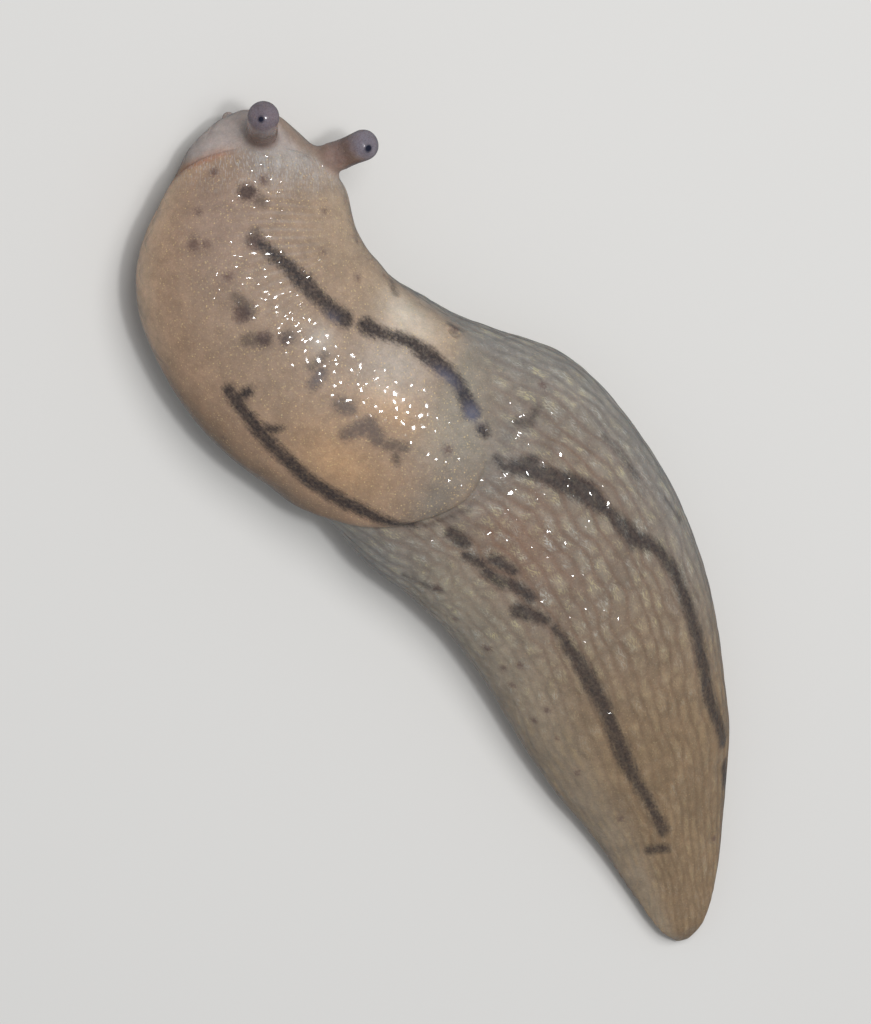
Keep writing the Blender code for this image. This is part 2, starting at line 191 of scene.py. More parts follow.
# Dark marks as strokes, by distance, angle and half the width
RIGHT_MANTLE_BAND = (
    ((5, 0, 0.15), (6, 12, 0.25), (7, 18, 0.3), (8, 21, 0.25), (9.5, 25, 0.3)),
    ((10.5, 30, 0.3), (11.5, 32, 0.2), (12.5, 36, 0.2), (13.5, 35, 0.35), (15, 31, 0.25), (16.2, 21, 0.3)),
    ((16.8, 16, 0.2), (17, 15, 0.15)),
)
LEFT_MANTLE_BAND = (
    ((9, -39, 0.2), (10, -40, 0.25), (12.5, -48, 0.3), (14, -46, 0.3), (15, -41, 0.2), (16.5, -32, 0.1)),
    ((9.3, -38, 0.2), (9.3, -30, 0.15)),
    ((10.4, -40, 0.2), (10.8, -31, 0.05)),
)
MIDDLE_MANTLE_BAND = (
    ((10, 0, 0.15), (10, 6, 0.1)),
    ((10.4, 0, 0.2), (10.5, -6, 0.15)),
    ((11.7, -5, 0.25), (12, -4, 0.25)),
    ((12.5, -15, 0.2), (13, -5, 0.3), (13.6, -8, 0.25)),
    ((14, -8, 0.2), (14.6, -5, 0.15)),
    ((14.4, -8, 0.15), (14.6, -12, 0.1)),
)
SPOTTED_BAND = (
    ((3.2, -10, 0.25), (3.2, -8, 0.25)),
    ((3.5, -1, 0.2), (3.5, 0, 0.2)),
    ((4.7, -2, 0.2), (4.9, -4, 0.15)),
    ((6.6, -14, 0.1), (7.2, -11, 0.3)),
    ((8, -17, 0.2), (8.3, -10, 0.2)),
    ((8.6, -2, 0.2), (8.6, 0, 0.2)),
)
RIGHT_BACK_BAND = (
    ((17.8, 8, 0.1), (18.3, 6, 0.15), (19, 13, 0.3)),
    ((18.6, 8, 0.25), (20, 15, 0.35), (21, 21, 0.45), (22, 24, 0.2), (23.3, 28, 0.35), (24, 37, 0.2),
     (25, 42, 0.25), (28, 46, 0.3), (30, 47, 0.3), (32, 61, 0.25)),
    ((33, 66, 0.2), (33.7, 74, 0.25)),
)
LEFT_BACK_BAND = (
    ((18, -25, 0.2), (18.8, -25, 0.25)),
    ((19.4, -29, 0.15), (20.4, -27, 0.15)),
    ((20.5, -22, 0.2), (21.5, -19, 0.2)),
    ((20.8, -28, 0.2), (21.7, -26, 0.2)),
    ((22, -23, 0.2), (23, -20, 0.2)),
    ((23.3, -28, 0.3), (24.2, -20, 0.2)),
    ((24.7, -18, 0.1), (27, -14, 0.3), (29, -12, 0.25), (31, -13, 0.3), (32, -12, 0.2), (34.5, -5, 0.2)),
    ((35.2, -23, 0.15), (35.3, -7, 0.15)),
)
SMALL_MARKS_AND_SHADOW_LINE = (
    ((17.8, 24, 0.15), (18.2, 26, 0.2), (18.2, 34, 0.1)),
    ((20.3, 47, 0.1), (21.9, 49, 0.1)),
    ((23, 59, 0.05), (23.8, 65, 0.1)),
    ((17.6, -62, 0.05), (19, -58, 0.1), (20, -54, 0.05)),
    ((7.7, 78, 0.1), (9, 79, 0.1)),
    ((10.3, 69, 0.15), (10.8, 60, 0.1)),
    ((14, 62, 0.15), (14.4, 63, 0.1)),
    # Painted shadow: a thin dark line along the rear left edge of the mantle, under its lobe
    ((16.7, -31, 0.05), (18, -12, 0.05)),
)

# Faint spots: distance, angle, radius
MANTLE_SPOTS = (
    (2.5, -35, 0.25), (3.2, -9, 0.4), (2.7, 0, 0.25), (4, -38, 0.2), (5, -35, 0.3), (5, -28, 0.2),
    (5, -2, 0.35), (6, -16, 0.25), (7.2, -14, 0.4), (8.2, -10, 0.35), (8.6, -2, 0.25), (3.8, 39, 0.15),
    (5.7, 33, 0.15), (5.5, 63, 0.15), (8.2, 46, 0.2), (9.5, 68, 0.15), (10.5, 62, 0.1), (14.2, 62, 0.2),
    (16, 3, 0.25), (10, -65, 0.15),
)
BACK_SPOTS = (
    (24.4, -57, 0.2), (25.6, -55, 0.15), (26.5, -56, 0.15), (25.7, -44, 0.15), (28, -42, 0.15),
    (28.3, -54, 0.15), (29.3, -45, 0.1), (31, -45, 0.15), (33.5, -35, 0.15), (22.2, -63, 0.15),
    (19.7, -54, 0.2), (18, 47, 0.2), (35.6, 57, 0.15),
)

# Soft patches of colour: how strong, distance and angle of the middle, reach along and across, tone
BACK_PATCHES = (
    (0.4, (21.0, -10), (2.6, 1.5), "back_warm"),
    (0.5, (17.8, 10), (1.2, 3.0), "flank_crown"),
)
FRONT_PATCHES = (
    (0.5, (4.2, -23), (2.2, 1.6), "mantle_pink"),
)
RIGHT_PATCHES = (
    (0.9, (11.9, 50), (1.7, 0.9), "mantle_cream"),
    (0.7, (9.4, 10), (0.6, 0.5), "mantle_pale"),
)
CREST_PATCHES = (
    (0.75, (12.6, 22), (1.7, 1.1), "mantle_pale"),
    (0.7, (12.9, 10), (1.0, 0.5), "mantle_pale"),
)
SHELL_PATCHES = (
    (0.8, (13.0, -29), (1.9, 1.25), "shell"),
    (0.7, (13.5, 5), (1.5, 0.8), "shell"),
    (0.9, (16.7, -16), (0.9, 1.5), "lobe"),
)
BAND_SOFTNESS = 0.5
SPOT_SOFTNESS = 0.45

# Colours, as a screen shows them
TONES = {
    "mantle": (160, 138, 119),
    "mantle_left": (172, 140, 114),
    "mantle_pink": (156, 134, 124),
    # Painted light: lifts the shade on the far left edge of the front mantle
    "mantle_edge_painted_light": (206, 178, 152),
    "mantle_cream": (216, 204, 188),
    # Partly the mantle's own paler tone, partly painted light on the right side, where the light falls
    "mantle_right_and_painted_light": (174, 152, 130),
    "mantle_front": (168, 160, 154),
    "mantle_streak": (196, 194, 194),
    # Painted shade: the lower left flank of the mantle, which turns away from the light
    "mantle_painted_shade": (134, 108, 84),
    "mantle_pale": (194, 184, 174),
    "mantle_grey": (152, 144, 132),
    "shell": (190, 154, 118),
    "lobe": (130, 122, 112),
    "rim": (172, 104, 56),
    "back_crown": (132, 117, 104),
    "back_groove": (128, 98, 80),
    "back_warm": (148, 114, 94),
    "flank_crown": (141, 137, 132),
    "flank_groove": (128, 121, 114),
    "flank_left": (156, 142, 124),
    "tail_crown": (139, 117, 92),
    "tail_groove": (120, 95, 75),
    "pale_crown": (178, 172, 156),
    "pale_rear": (170, 147, 116),
    "neck": (160, 120, 86),
    "foot": (160, 140, 116),
    "snout": (180, 168, 163),
    "snout_right": (160, 138, 122),
    "dash": (216, 204, 156),
    "cool_dash": (204, 206, 200),
    "fleck": (230, 204, 152),
    "spot": (104, 82, 76),
    "band": (66, 57, 54),
    "core": (34, 31, 38),
    "blue": (96, 98, 118),
    "root_left": (136, 114, 105),
    "root_right": (164, 140, 126),
    "stalk_left": (106, 84, 78),
    "stalk_right": (158, 134, 126),
    "collar": (76, 56, 52),
    "bulb_left": (126, 116, 124),
    "bulb_right": (130, 124, 134),
    "eye": (34, 34, 54),
}

# Camera: it looks at the middle of the body from nearly above
TARGET = Vector((0.0, 0.0, 2.0))
CAMERA_REACH = 230.0
CAMERA_TILT = math.radians(12.0)
CAMERA_LEAN = Vector((-0.7507, 0.6606, 0.0))
CAMERA_STEP = (0.038, 0.346)
FRAME_HEIGHT = 39.385
SENSOR = 36.0

# Lamps: direction, reach, size, power, and whether the skin mirrors the lamp
LAMPS = {
    "flash": ((0.11, 0.14, 0.98), 200.0, 19.0, 0.08, True),
    "key": ((0.15, 0.28, 0.94), 240.0, 140.0, 0.32, False),
}
SKY_COLOUR = (0.95, 0.97, 1.0, 1.0)
SKY_STRENGTH = 0.3
MIRRORED_SKY_STRENGTH = 0.16

# Floor: half its width and its level in metres, just below the sole
FLOOR_HALF = 0.6
FLOOR_LEVEL = -0.00002
FLOOR_COLOUR = (0.74, 0.73, 0.71, 1.0)
FLOOR_ROUGHNESS = 0.85


def smooth_table(rows):
    """A function that reads the columns of a table at many distances, along smooth curves."""
    table = np.array(rows, dtype=float)
    keys = table[:, 0]
    values = table[:, 1:]
    slopes = np.gradient(values, keys, axis=0)

    def read(distance):
        at = np.clip(np.asarray(distance, dtype=float), keys[0], keys[-1])
        row = np.clip(np.searchsorted(keys, at, side="right") - 1, 0, len(keys) - 2)
        span = (keys[row + 1] - keys[row])[..., None]
        part = (at[..., None] - keys[row][..., None]) / span
        rise = part * part * (3.0 - 2.0 * part)
        leave = part * (1.0 - part) ** 2
        arrive = part * part * (part - 1.0)
        return ((1.0 - rise) * values[row] + rise * values[row + 1]
                + span * (leave * slopes[row] + arrive * slopes[row + 1]))

    return read


def spine_table():
    points = np.array(SPINE)
    steps = np.linalg.norm(np.diff(points, axis=0), axis=1)
    distances = np.concatenate(([0.0], np.cumsum(steps)))
    return smooth_table(np.column_stack((distances, points)))


spine_at = spine_table()
body_at = smooth_table(BODY)
chin_at = smooth_table(CHIN)
mantle_edges_at = smooth_table(MANTLE_EDGES)


def soft_step(value, low, high):
    part = np.clip((value - low) / (high - low), 0.0, 1.0)
    return part * part * (3.0 - 2.0 * part)


def blend(weight, first, second):
    return first * (1.0 - weight) + second * weight


def place(distance, lateral, height):
    """Points set off from the spine to the right and upwards."""
    ahead = spine_at(distance + SPINE_REACH) - spine_at(distance - SPINE_REACH)
    ahead /= np.linalg.norm(ahead, axis=-1, keepdims=True)
    right = np.stack((-ahead[..., 1], ahead[..., 0]), axis=-1)
    flat = spine_at(distance) + right * np.asarray(lateral)[..., None]
    return np.concatenate((flat, np.broadcast_to(height, flat.shape[:-1])[..., None]), axis=-1)


def back_point(distance, angle):
    """Lateral place and height on the bare skin; beyond 90 degrees the flank tucks in to the groove."""
    left, right, top, waist, squareness = np.moveaxis(body_at(distance), -1, 0)
    bottom = chin_at(distance)[..., 0]
    half_width = np.where(angle < 0.0, left, right)
    turn = np.radians(np.minimum(np.abs(angle), 90.0))
    tuck = np.radians(np.maximum(np.abs(angle) - 90.0, 0.0))
    lateral = half_width * np.sin(turn) ** (2.0 / squareness) - FLANK_TUCK * half_width * (1.0 - np.cos(tuck))
    height = waist + (top - waist) * np.maximum(0.0, np.cos(turn)) ** (2.0 / squareness)
    height = height - (waist - bottom) * np.sin(tuck)
    return np.sign(angle) * lateral, height


def end_factor(distance, ends, roundings):
    """How wide a rounded outline is at a distance, from 0 at its ends to 1 in its middle."""
    front = np.clip((ends[0] + roundings[0] - distance) / roundings[0], 0.0, 1.0)
    rear = np.clip((distance - ends[1] + roundings[1]) / roundings[1], 0.0, 1.0)
    return np.sqrt(1.0 - front ** 2) * np.sqrt(1.0 - rear ** 2)


def stations():
    """Distances of the skin's rings, closer together at the snout and the tail tip."""
    nose = np.arange(0.004, 2.4, NOSE_STEP)
    body = np.arange(nose[-1] + BODY_STEP, LENGTH - TAIL_ROUND, BODY_STEP)
    turns = np.linspace(0.02, math.pi / 2 - 0.02, 30)
    tail = LENGTH - TAIL_ROUND + TAIL_ROUND * np.sin(turns)
    return np.concatenate((nose, body, tail))


def ring_angles():
    """Angles over the back and both flanks, evenly spaced on the skin at the widest part of the body."""
    fine = np.linspace(-180.0, 180.0, 4001)
    lateral, height = back_point(np.full(fine.shape, 20.0), fine)
    run = np.concatenate(([0.0], np.cumsum(np.hypot(np.diff(lateral), np.diff(height)))))
    return np.interp(np.linspace(0.0, run[-1], BACK_POINTS), run, fine)


def side_section(distance, side):
    """Lateral places and heights from below the flank, over groove and fringe, to the edge of the sole."""
    half_width = body_at(np.clip(distance, 1.8, LENGTH - 0.6))[..., 0 if side < 0 else 1]
    flank, bottom = back_point(distance, np.full(distance.shape, side * 180.0))
    flank = np.abs(flank)
    foot = (half_width * (1.0 - FLANK_TUCK) + FRINGE) * end_factor(distance, FOOT_ENDS, FOOT_ROUNDINGS)
    foot = np.maximum(foot, 0.25)
    laterals = [flank, flank - GROOVE_DEPTH] + [foot + inset for inset, level in FOOT_SIDE]
    heights = [bottom, bottom - GROOVE_DEPTH] + [np.full(distance.shape, level) for inset, level in FOOT_SIDE]
    laterals = np.stack(laterals, axis=-1)
    heights = np.stack(heights, axis=-1)
    count = laterals.shape[-1]
    spread = np.linspace(1.0, 0.45, count)
    weight = soft_step(distance, *FOOT_BLEND)[:, None]
    laterals = blend(weight, flank[:, None] * spread, laterals)
    heights = blend(weight, bottom[:, None] * np.ones(count), heights)
    corners = smooth_table(np.column_stack((np.arange(count), np.eye(count))))
    weights = corners(np.linspace(0.0, count - 1.0, SIDE_POINTS + 1)[1:])
    return side * laterals @ weights.T, heights @ weights.T


def closed_section(distance, angles):
    """Lateral places and heights of the whole rings, from the left edge of the sole over the back."""
    over_lateral, over_height = back_point(distance[:, None], angles[None, :])
    left_lateral, left_height = side_section(distance, -1.0)
    right_lateral, right_height = side_section(distance, 1.0)
    across = np.linspace(0.0, 1.0, SOLE_POINTS + 2)[1:-1][None, :]
    sole_lateral = blend(across, right_lateral[:, -1:], left_lateral[:, -1:])
    sole_height = blend(across, right_height[:, -1:], left_height[:, -1:])
    lateral = np.hstack((left_lateral[:, ::-1], over_lateral, right_lateral, sole_lateral))
    height = np.hstack((left_height[:, ::-1], over_height, right_height, sole_height))
    nose = np.sqrt(1.0 - np.clip(1.0 - distance / NOSE_ROUND, 0.0, 1.0) ** 2)[:, None]
    tail = np.sqrt(1.0 - np.clip((distance - LENGTH) / TAIL_ROUND + 1.0, 0.0, 1.0) ** 2)[:, None]
    lateral = lateral * nose * tail
    height = (NOSE_LEVEL + (height - NOSE_LEVEL) * nose) * tail
    return lateral, height


def hashed(cell, seed):
    """A steady random number from 0 to 1 for each whole-number cell."""
    table = np.random.default_rng(seed).random(8192)
    key = np.zeros(cell.shape[:-1], dtype=np.int64)
    for axis, prime in zip(range(cell.shape[-1]), (73856093, 19349663, 83492791)):
        key ^= cell[..., axis].astype(np.int64) * prime
    return table[key & 8191]


def soft_noise(points, seed):
    """Smooth random values from 0 to 1 through the plane or space, one hill to a unit."""
    base = np.floor(points)
    part = points - base
    part = part * part * (3.0 - 2.0 * part)
    total = np.zeros(points.shape[:-1])
    axes = points.shape[-1]
    for corner in range(2 ** axes):
        step = np.array([(corner >> axis) & 1 for axis in range(axes)])
        weight = np.prod(np.where(step == 1, part, 1.0 - part), axis=-1)
        total += weight * hashed(base + step, seed)
    return total


def cells(along, across, seed):
    """For places in cell units, among long cells in rows: how far inside its cell each one is, how much
    the nearest neighbour lies beside it and not before or behind it, and the cell's own random number.
    """
    row = np.floor(across)
    nearest = np.full(along.shape, 9.0)
    second = np.full(along.shape, 9.0)
    own = np.zeros(along.shape)
    home = np.zeros(along.shape)
    beside = np.ones(along.shape)
    for row_step in (-1, 0, 1):
        this_row = row + row_step
        shift = hashed(np.stack((this_row, 0.0 * this_row), axis=-1), seed + 3)
        column = np.floor(along - shift)
        for column_step in (-1, 0, 1):
            cell = np.stack((column + column_step, this_row), axis=-1)
            jitter = 0.5 + 0.6 * (hashed(cell, seed) - 0.5)
            wobble = 0.5 + 0.35 * (hashed(cell, seed + 1) - 0.5)
            gap = np.hypot(column + column_step + shift + jitter - along, this_row + wobble - across)
            closer = gap < nearest
            runner_up = ~closer & (gap < second)
            beside = np.where(closer, (this_row != home).astype(float), beside)
            beside = np.where(runner_up, (this_row != home).astype(float), beside)
            second = np.where(closer, nearest, np.where(runner_up, gap, second))
            own = np.where(closer, hashed(cell, seed + 2), own)
            home = np.where(closer, this_row, home)
            nearest = np.where(closer, gap, nearest)
    return second - nearest, beside, own


def skin_place(distance, angle):
    distance = np.asarray(distance, dtype=float)
    return place(distance, *back_point(distance, np.asarray(angle, dtype=float)))


def mantle_outline():
    """Points round the mantle's edge on the bare skin."""
    start, end = MANTLE_ENDS
    turns = np.linspace(0.0, math.pi, 500)
    distance = start + (end - start) * (1.0 - np.cos(turns)) / 2.0
    left, right = np.moveaxis(mantle_edges_at(distance), -1, 0)
    half = (right - left) / 2.0 * end_factor(distance, MANTLE_ENDS, MANTLE_ROUNDINGS)
    middle = (left + right) / 2.0
    return np.concatenate((skin_place(distance, middle - half), skin_place(distance, middle + half)))


def mantle_depth(distance, angle, points):
    """How far inside the mantle's edge each point of the net is; outside it the number is negative."""
    outline = mantle_outline()
    left, right = np.moveaxis(mantle_edges_at(distance), -1, 0)
    half = (right - left) / 2.0 * end_factor(distance, MANTLE_ENDS, MANTLE_ROUNDINGS)
    inside = np.abs(angle[None, :] - ((left + right) / 2.0)[:, None]) < half[:, None]
    inside &= ((distance > MANTLE_ENDS[0]) & (distance < MANTLE_ENDS[1]))[:, None]
    gap = np.full(inside.shape, 9.0)
    for ring in np.nonzero(distance < MANTLE_ENDS[1] + 2.0)[0]:
        offsets = points[ring][:, None, :] - outline[None, :, :]
        gap[ring] = np.sqrt((offsets ** 2).sum(axis=-1).min(axis=1))
    return np.where(inside, gap, -gap)


def stroke_points(strokes):
    """Points close together along marks given by distance, angle and half width."""
    found = []
    for stroke in strokes:
        rows = np.array(stroke, dtype=float)
        keys = np.arange(len(rows))
        count = max(2, int(14 * (len(rows) - 1)) + 1)
        at = np.linspace(0.0, len(rows) - 1.0, count)
        found.append(np.column_stack([np.interp(at, keys, rows[:, k]) for k in range(3)]))
    return np.concatenate(found)


def mark_field(strokes, distance, points, softness):
    """A soft field round marks: 1 well inside them, 0.5 on their edges and 0 well outside."""
    marks = stroke_points(strokes)
    places = skin_place(marks[:, 0], marks[:, 1])
    field = np.zeros(points.shape[:2])
    for ring, at in enumerate(distance):
        near = np.abs(marks[:, 0] - at) < 1.6
        if near.any():
            offsets = points[ring][:, None, :2] - places[near][None, :, :2]
            height = points[ring][:, None, 2] - places[near][None, :, 2]
            gap = np.sqrt((offsets ** 2).sum(axis=-1) + height ** 2) - marks[near, 2]
            field[ring] = np.clip(0.5 - gap.min(axis=1) / softness, 0.0, 1.0)
    return field


def single_spots(spots):
    return tuple(((d, a, r), (d + 0.01, a, r)) for d, a, r in spots)


def patch(distance, across, centre, radii):
    """A soft round patch about a place: 1 in the middle, fading out at the two radii."""
    lateral = math.copysign(1.0, centre[1]) * np.hypot(*np.diff(
        np.array([back_point(np.array(centre[0]), np.array(turn)) for turn in (0.0, centre[1])]), axis=0)[0])
    squared = ((distance[:, None] - centre[0]) / radii[0]) ** 2 + ((across - lateral) / radii[1]) ** 2
    return np.exp(-squared)


def linear(tone):
    """A named colour as light, from the numbers that a screen shows."""
    share = np.array(TONES[tone]) / 255.0
    return np.where(share < 0.04045, share / 12.92, ((share + 0.055) / 1.055) ** 2.4)


def mix_tone(weight, colours, tone):
    return blend(np.asarray(weight)[..., None], colours, linear(tone))


class Net:
    """The skin's net of points, with what is known about each."""

    def __init__(self):
        self.distance = stations()
        self.angles = ring_angles()
        lateral, height = closed_section(self.distance, self.angles)
        self.points = place(np.broadcast_to(self.distance[:, None], lateral.shape), lateral, height)
        first = SIDE_POINTS
        self.over = slice(first, first + BACK_POINTS)
        self.angle = np.full(lateral.shape[1], 180.0)
        self.angle[:first] = -180.0
        self.angle[self.over] = self.angles
        steps = np.linalg.norm(np.diff(self.points, axis=1), axis=-1)
        run = np.concatenate((np.zeros((len(steps), 1)), np.cumsum(steps, axis=1)), axis=1)
        top = first + int(np.argmin(np.abs(self.angles)))
        self.across = run - run[:, top:top + 1]
        self.girth = 5.2 / np.maximum(body_at(self.distance)[:, :2].mean(axis=1), 1.6)
        self.girth = blend(soft_step(self.distance, 16.0, 22.0), 1.0, self.girth) ** 0.7
        self.normals = self.find_normals()
        self.mantle = mantle_depth(self.distance, self.angle, self.points)
        self.crisp = self.find_crispness()
        front = 0.5 * soft_step(-self.distance, -6.0, -3.0)[:, None]
        self.shield = soft_step(self.mantle / blend(np.maximum(self.crisp, front), 0.9, 0.07), -1.0, 1.0)

    def find_crispness(self):
        """How sharp the mantle's edge is: a fold at the left rear, soft in front, gone at the right rear."""
        turn = self.angle[None, :]
        distance = self.distance[:, None]
        fold = soft_step(-turn, -12.0, 10.0) * soft_step(distance, 10.5, 13.0)
        left = 0.6 * soft_step(-turn, 30.0, 60.0)
        front = 0.3 * soft_step(-distance, -6.0, -3.0)
        return np.maximum(np.maximum(fold, left), front)

    def find_normals(self):
        along = np.gradient(self.points, axis=0)
        round_ring = np.roll(self.points, -1, axis=1) - np.roll(self.points, 1, axis=1)
        normals = np.cross(along, round_ring)
        normals /= np.maximum(np.linalg.norm(normals, axis=-1, keepdims=True), 1e-9)
        outward = self.points - self.points.mean(axis=1, keepdims=True)
        if (normals * outward).sum() < 0.0:
            normals = -normals
        return normals


def cross_ridges(net):
    """Fine ridges across the front of the mantle, from -1 to 1."""
    bend = soft_noise(net.points / 1.7, 5)
    wave = np.sin(2.0 * math.pi * (net.distance[:, None] / 0.32 + 0.22 * net.across + 1.3 * bend))
    return wave * patch(net.distance, net.across, (5.0, 10), (2.6, 1.3))


def mantle_relief(net):
    """The shield's rim, its crease, fine cross ridges and grain."""
    depth = net.mantle
    part = np.clip(depth / MANTLE_RIM, 0.0, 1.0)
    lift = MANTLE_LIFT * blend(net.crisp, soft_step(depth, *FADED_RIM), np.sqrt(1.0 - (1.0 - part) ** 2))
    crease = CREASE_DEPTH * net.crisp * np.exp(-(np.minimum(depth, 0.0) / CREASE_WIDTH) ** 2) * (depth < 0.0)
    inner = net.shield * soft_step(depth, -0.3, 0.6)
    ridges = 0.002 * cross_ridges(net)
    swell = 0.03 * (soft_noise(net.points / 2.1, 7) - 0.5) + 0.012 * (soft_noise(net.points / 0.8, 8) - 0.5)
    coarse = 0.006 * (soft_noise(net.points / 0.4, 9) - 0.5)
    fine = 0.0015 * (soft_noise(net.points / 0.17, 10) - 0.5)
    pebbles = coarse + fine
    return lift - crease + inner * (ridges + swell + pebbles)


def back_relief(net):
    """Long tubercles in rows down the back and the flanks, smaller towards the tail and the fringe."""
    bend = 0.9 * (soft_noise(net.points / 1.3, 14) - 0.5)
    along = net.distance[:, None] / TUBERCLE_LENGTH + 0.0 * net.across
    across = net.across / TUBERCLE_WIDTH * net.girth[:, None]
    inside, beside, own = cells(along + 0.12 * np.abs(net.across), across + bend, 21)
    inside = np.minimum(1.0, inside + 0.25 * (1.0 - beside))
    crown = soft_step(inside, -0.15, 1.0)
    bare = (1.0 - net.shield) * soft_step(net.distance, 1.8, 3.0)[:, None]
    upper = soft_step(180.0 - np.abs(net.angle), 4.0, 30.0)[None, :]
    size = blend(soft_step(net.distance, 25.0, 37.0), 1.0, 0.5)[:, None]
    height = TUBERCLE_HEIGHT * size * bare * upper * blend(own, 0.6, 1.2)
    swell = 0.04 * (soft_noise(net.points / 1.6, 11) - 0.5)
    grain = 0.002 * (soft_noise(net.points / 0.17, 12) - 0.5)
    return height * (crown - 0.7) + bare * (swell + grain), bare * upper * inside, own


def fringe_relief(net):
    """Fine upright wrinkles in the fringe of the foot."""
    sides = (np.abs(net.angle) >= 180.0).astype(float)
    sides[SIDE_POINTS * 2 + BACK_POINTS:] = 0.0
    wave = np.sin(2.0 * math.pi * (net.distance / 0.42 + 0.7 * soft_noise(net.points[:, 4] / 1.3, 17)))
    return 0.018 * wave[:, None] * sides[None, :]


def dent(points, centre, radius, depth):
    gap = np.linalg.norm(points - centre, axis=-1) / radius
    hole = -depth * np.exp(-gap ** 4)
    lip = 0.14 * depth * np.exp(-((gap - 1.45) / 0.35) ** 2)
    return hole + lip


def mouth_relief(net):
    """Two soft lips with an upright slit between them."""
    offset = net.points - np.array(MOUTH)
    relief = np.zeros(offset.shape[:2])
    for side in (-1.0, 1.0):
        gap = np.linalg.norm(offset - np.array((side * LIP_OFFSET, 0.0, 0.0)), axis=-1) / LIP_RADIUS
        relief += LIP_HEIGHT * np.exp(-gap ** 2)
    reach = np.linalg.norm(offset, axis=-1) / 0.5
    return relief - SLIT_DEPTH * np.exp(-(offset[..., 0] / SLIT_WIDTH) ** 2 - reach ** 4)


def zones(net, back, flank, tail):
    """Colours that change softly from the back to the flanks and to the tail."""
    shape = net.points.shape
    every = np.ones(shape[:2])
    side = soft_step(np.abs(net.angle), 22.0, 70.0)[None, :] * every
    colours = np.broadcast_to(linear(back), shape).copy()
    colours = mix_tone(side, colours, flank)
    return mix_tone(soft_step(net.distance, 22.0, 32.0)[:, None] * every, colours, tail)


def lay_patches(net, colours, patches):
    """Colours with soft patches laid over them in turn."""
    for share, middle, reach, tone in patches:
        colours = mix_tone(share * patch(net.distance, net.across, middle, reach), colours, tone)
    return colours


def body_tint(net, inside, own):
    """The colour of the head, the back, the flanks and the fringe."""
    distance = net.distance[:, None]
    turn = net.angle[None, :]
    every = np.ones(net.mantle.shape)
    grooves = zones(net, "back_groove", "flank_groove", "tail_groove")
    crowns = zones(net, "back_crown", "flank_crown", "tail_crown")
    towards_tail = blend(soft_step(distance, 28.0, 35.0), 1.0, 0.5)
    patchy = towards_tail * blend(soft_noise(net.points / 1.9, 43), 0.35, 1.0)
    rear = soft_step(distance, 22.0, 31.0)
    groove = blend(rear, 0.45, 0.3) * (1.0 - soft_step(inside, 0.0, 0.4)) * patchy
    colours = blend(groove[..., None], crowns, grooves)
    left = soft_step(-turn, 15.0, 50.0) * soft_step(distance, 16.0, 20.0)
    colours = mix_tone(0.7 * left, colours, "flank_left")
    pale = soft_step(inside, 0.15, 0.9) * blend(own, 0.1, 1.0)
    colours = mix_tone(0.42 * pale * (1.0 - rear), colours, "pale_crown")
    colours = mix_tone(0.5 * pale * rear, colours, "pale_rear")
    colours = lay_patches(net, colours, BACK_PATCHES)
    colours = mix_tone(soft_step(-distance, -3.2, -1.6) * every, colours, "snout")
    right_snout = 0.9 * soft_step(-distance, -4.0, -1.8) * soft_step(turn, 25.0, 55.0)
    colours = mix_tone(right_snout, colours, "snout_right")
    neck = soft_step(-turn, 44.0, 70.0) * soft_step(distance, 1.7, 2.6) * soft_step(-distance, -9.0, -6.0)
    colours = mix_tone(0.8 * neck, colours, "neck")
    sides = (np.abs(turn) >= 180.0) * soft_step(distance, 1.0, 2.0)
    return mix_tone(sides, colours, "foot")


def shield_tint(net):
    """The colour of the mantle, with painted shade on its lower left flank, painted light on its front left
    edge, and a paler right side that is partly painted light.
    """
    distance = net.distance[:, None]
    turn = net.angle[None, :]
    every = np.ones(net.mantle.shape)
    shield = np.broadcast_to(linear("mantle"), net.points.shape).copy()
    shield = mix_tone(soft_step(-turn, 15.0, 75.0) * every, shield, "mantle_left")
    # The right side of the mantle paler: partly its own tone, partly painted light where the light falls on
    # it
    shield = mix_tone(soft_step(turn, 10.0, 60.0) * every, shield, "mantle_right_and_painted_light")
    pale_front = 0.9 * soft_step(-distance, -3.6, -1.6) * soft_step(turn, -25.0, 0.0)
    shield = mix_tone(pale_front, shield, "mantle_front")
    flow = np.stack((distance * 1.5 + 0.0 * net.across, net.across * 9.0), axis=-1)
    streaks = soft_step(soft_noise(flow, 41), 0.4, 0.9) * soft_step(-distance, -3.6, -2.2)
    shield = mix_tone(0.3 * streaks * soft_step(turn, -20.0, 0.0), shield, "mantle_streak")
    shield = mix_tone(0.2 * np.clip(cross_ridges(net), 0.0, 1.0), shield, "mantle_streak")
    shield = lay_patches(net, shield, FRONT_PATCHES)
    # Painted light: the far left edge of the front mantle made lighter, against the shade that falls there
    side = soft_step(-turn, 45.0, 80.0) * soft_step(-distance, -9.0, -6.0)
    shield = mix_tone(0.95 * side, shield, "mantle_edge_painted_light")
    shield = lay_patches(net, shield, RIGHT_PATCHES)
    # Painted shade: the lower left flank of the mantle made darker, where it turns away from the light
    low = soft_step(-turn, 50.0, 76.0) * soft_step(distance, 7.0, 10.0)
    shield = mix_tone(0.95 * low, shield, "mantle_painted_shade")
    shield = lay_patches(net, shield, CREST_PATCHES)
    grey_rear = 0.95 * soft_step(distance, 13.9, 15.3) * soft_step(turn, -16.0, 8.0)
    shield = mix_tone(grey_rear, shield, "mantle_grey")
    shield = lay_patches(net, shield, SHELL_PATCHES)
    edge = soft_step(-net.mantle, -0.42, -0.05) * soft_step(-turn, 14.0, 40.0)
    edge = edge * soft_step(-distance, -9.0, -5.0)
    return mix_tone(0.9 * edge, shield, "rim")


